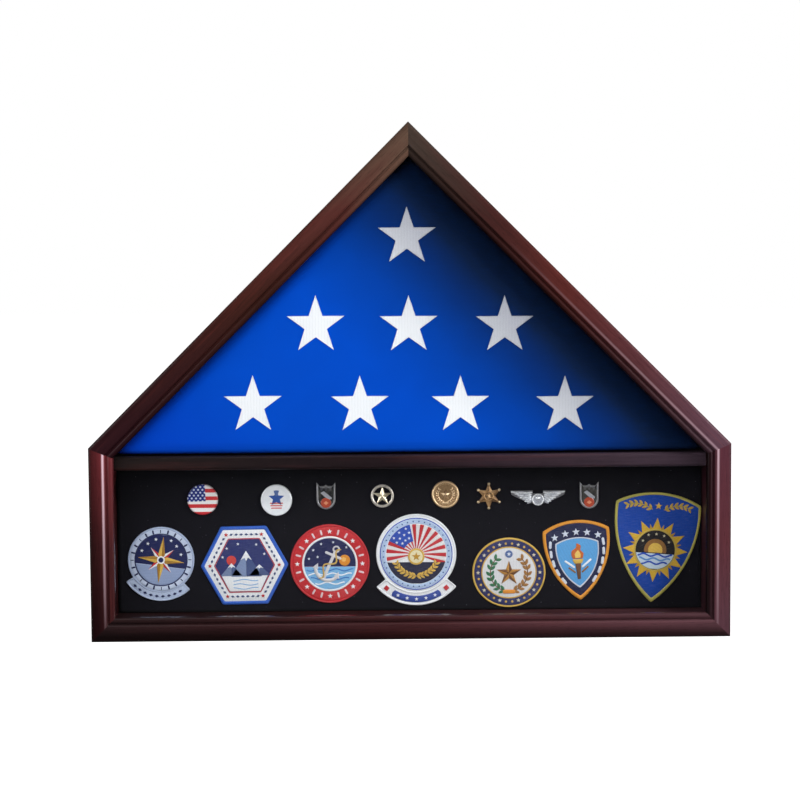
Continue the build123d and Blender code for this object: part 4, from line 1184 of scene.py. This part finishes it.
# Floor and surroundings: pale, white to the eye and in mirrors, with the case's shadow kept
seen_as = ("Is Camera Ray", "Is Glossy Ray", "Is Transmission Ray")


def seen_directly(tree):
    """1 for rays from the eye, from mirrors and through glass."""
    first, second, third = (tree.node("LightPath", {}, {}, name) for name in seen_as)
    return first.math("MAXIMUM", second).math("MAXIMUM", third)


def cards(name, finish, corners):
    """Flat cards that aren't part of the case, four corners each."""
    mesh = bpy.data.meshes.new(name)
    mesh.from_pydata(corners, [], np.arange(len(corners)).reshape(-1, 4).tolist())
    mesh.materials.append(finish.material)
    made = placed(name, mesh)
    return made


ground = Finish("floor")
lit = ground.node("BsdfDiffuse", {}, {"Color": (0.55, 0.55, 0.55, 1.0)})
glow = ground.node("Emission", {}, {"Color": (255, 255, 255), "Strength": 0.88})
bright = ground.node("AddShader", {}, {0: lit, 1: glow})
ground.ended(ground.node("MixShader", {}, {0: seen_directly(ground), 1: lit, 2: bright}))
reach = 40.0
cards("floor", ground, [(-reach, -reach, 0), (reach, -reach, 0), (reach, reach, 0), (-reach, reach, 0)])

world = bpy.data.worlds.new("studio")
world.use_nodes = True
bpy.context.scene.world = world
around = Tree(world.node_tree)
room = around.mix(seen_directly(around), (0.34, 0.34, 0.35, 1.0), (255, 255, 255))
around.node("OutputWorld", {}, {"Surface": around.node("Background", {}, {"Color": room, "Strength": 1.0})})

# Soft rectangular lamps, each aimed at a point. They light surfaces, or show only in their gloss
for name, place, target, (width, height), watts, mirrored in (
    ("key", (1.5, -1.5, 1.9), (0.0, 0.0, 0.3), (1.0, 1.0), 70.0, False),
    ("front_fill", (-0.9, -3.2, 1.3), (0.0, 0.0, 0.25), (2.2, 1.6), 74.0, False),
    ("right_window", (1.6, -0.9, 0.65), (-0.3, 0.0, 0.15), (1.2, 1.1), 90.0, True),
    ("left_window", (-1.6, -0.9, 0.65), (0.3, 0.0, 0.15), (1.2, 1.1), 55.0, True),
):
    light = bpy.data.lights.new(name, "AREA")
    light.shape, light.size, light.size_y, light.energy = "RECTANGLE", width, height, watts
    lamp = placed(name, light)
    lamp.location = place
    lamp.rotation_euler = (Vector(target) - Vector(place)).to_track_quat("-Z", "Y").to_euler()
    lamp.visible_camera, lamp.visible_glossy, lamp.visible_diffuse = False, mirrored, not mirrored

# A dark studio far in front and just above the floor, up to the case, which only mirrors see
far, near, low = -3.6, -0.0468, 0.0005
dark = Finish("dark_cards")
dark.ended(dark.node("Emission", {}, {"Strength": 0.03}))
studio = cards("dark_cards", dark, [
    (-7, far, 6), (7, far, 6), (7, far, -1), (-7, far, -1),
    (-2, far, low), (2, far, low), (2, near, low), (-2, near, low),
])
studio.visible_camera = studio.visible_diffuse = studio.visible_shadow = studio.visible_transmission = False

bpy.context.scene.view_settings.view_transform = "Standard"
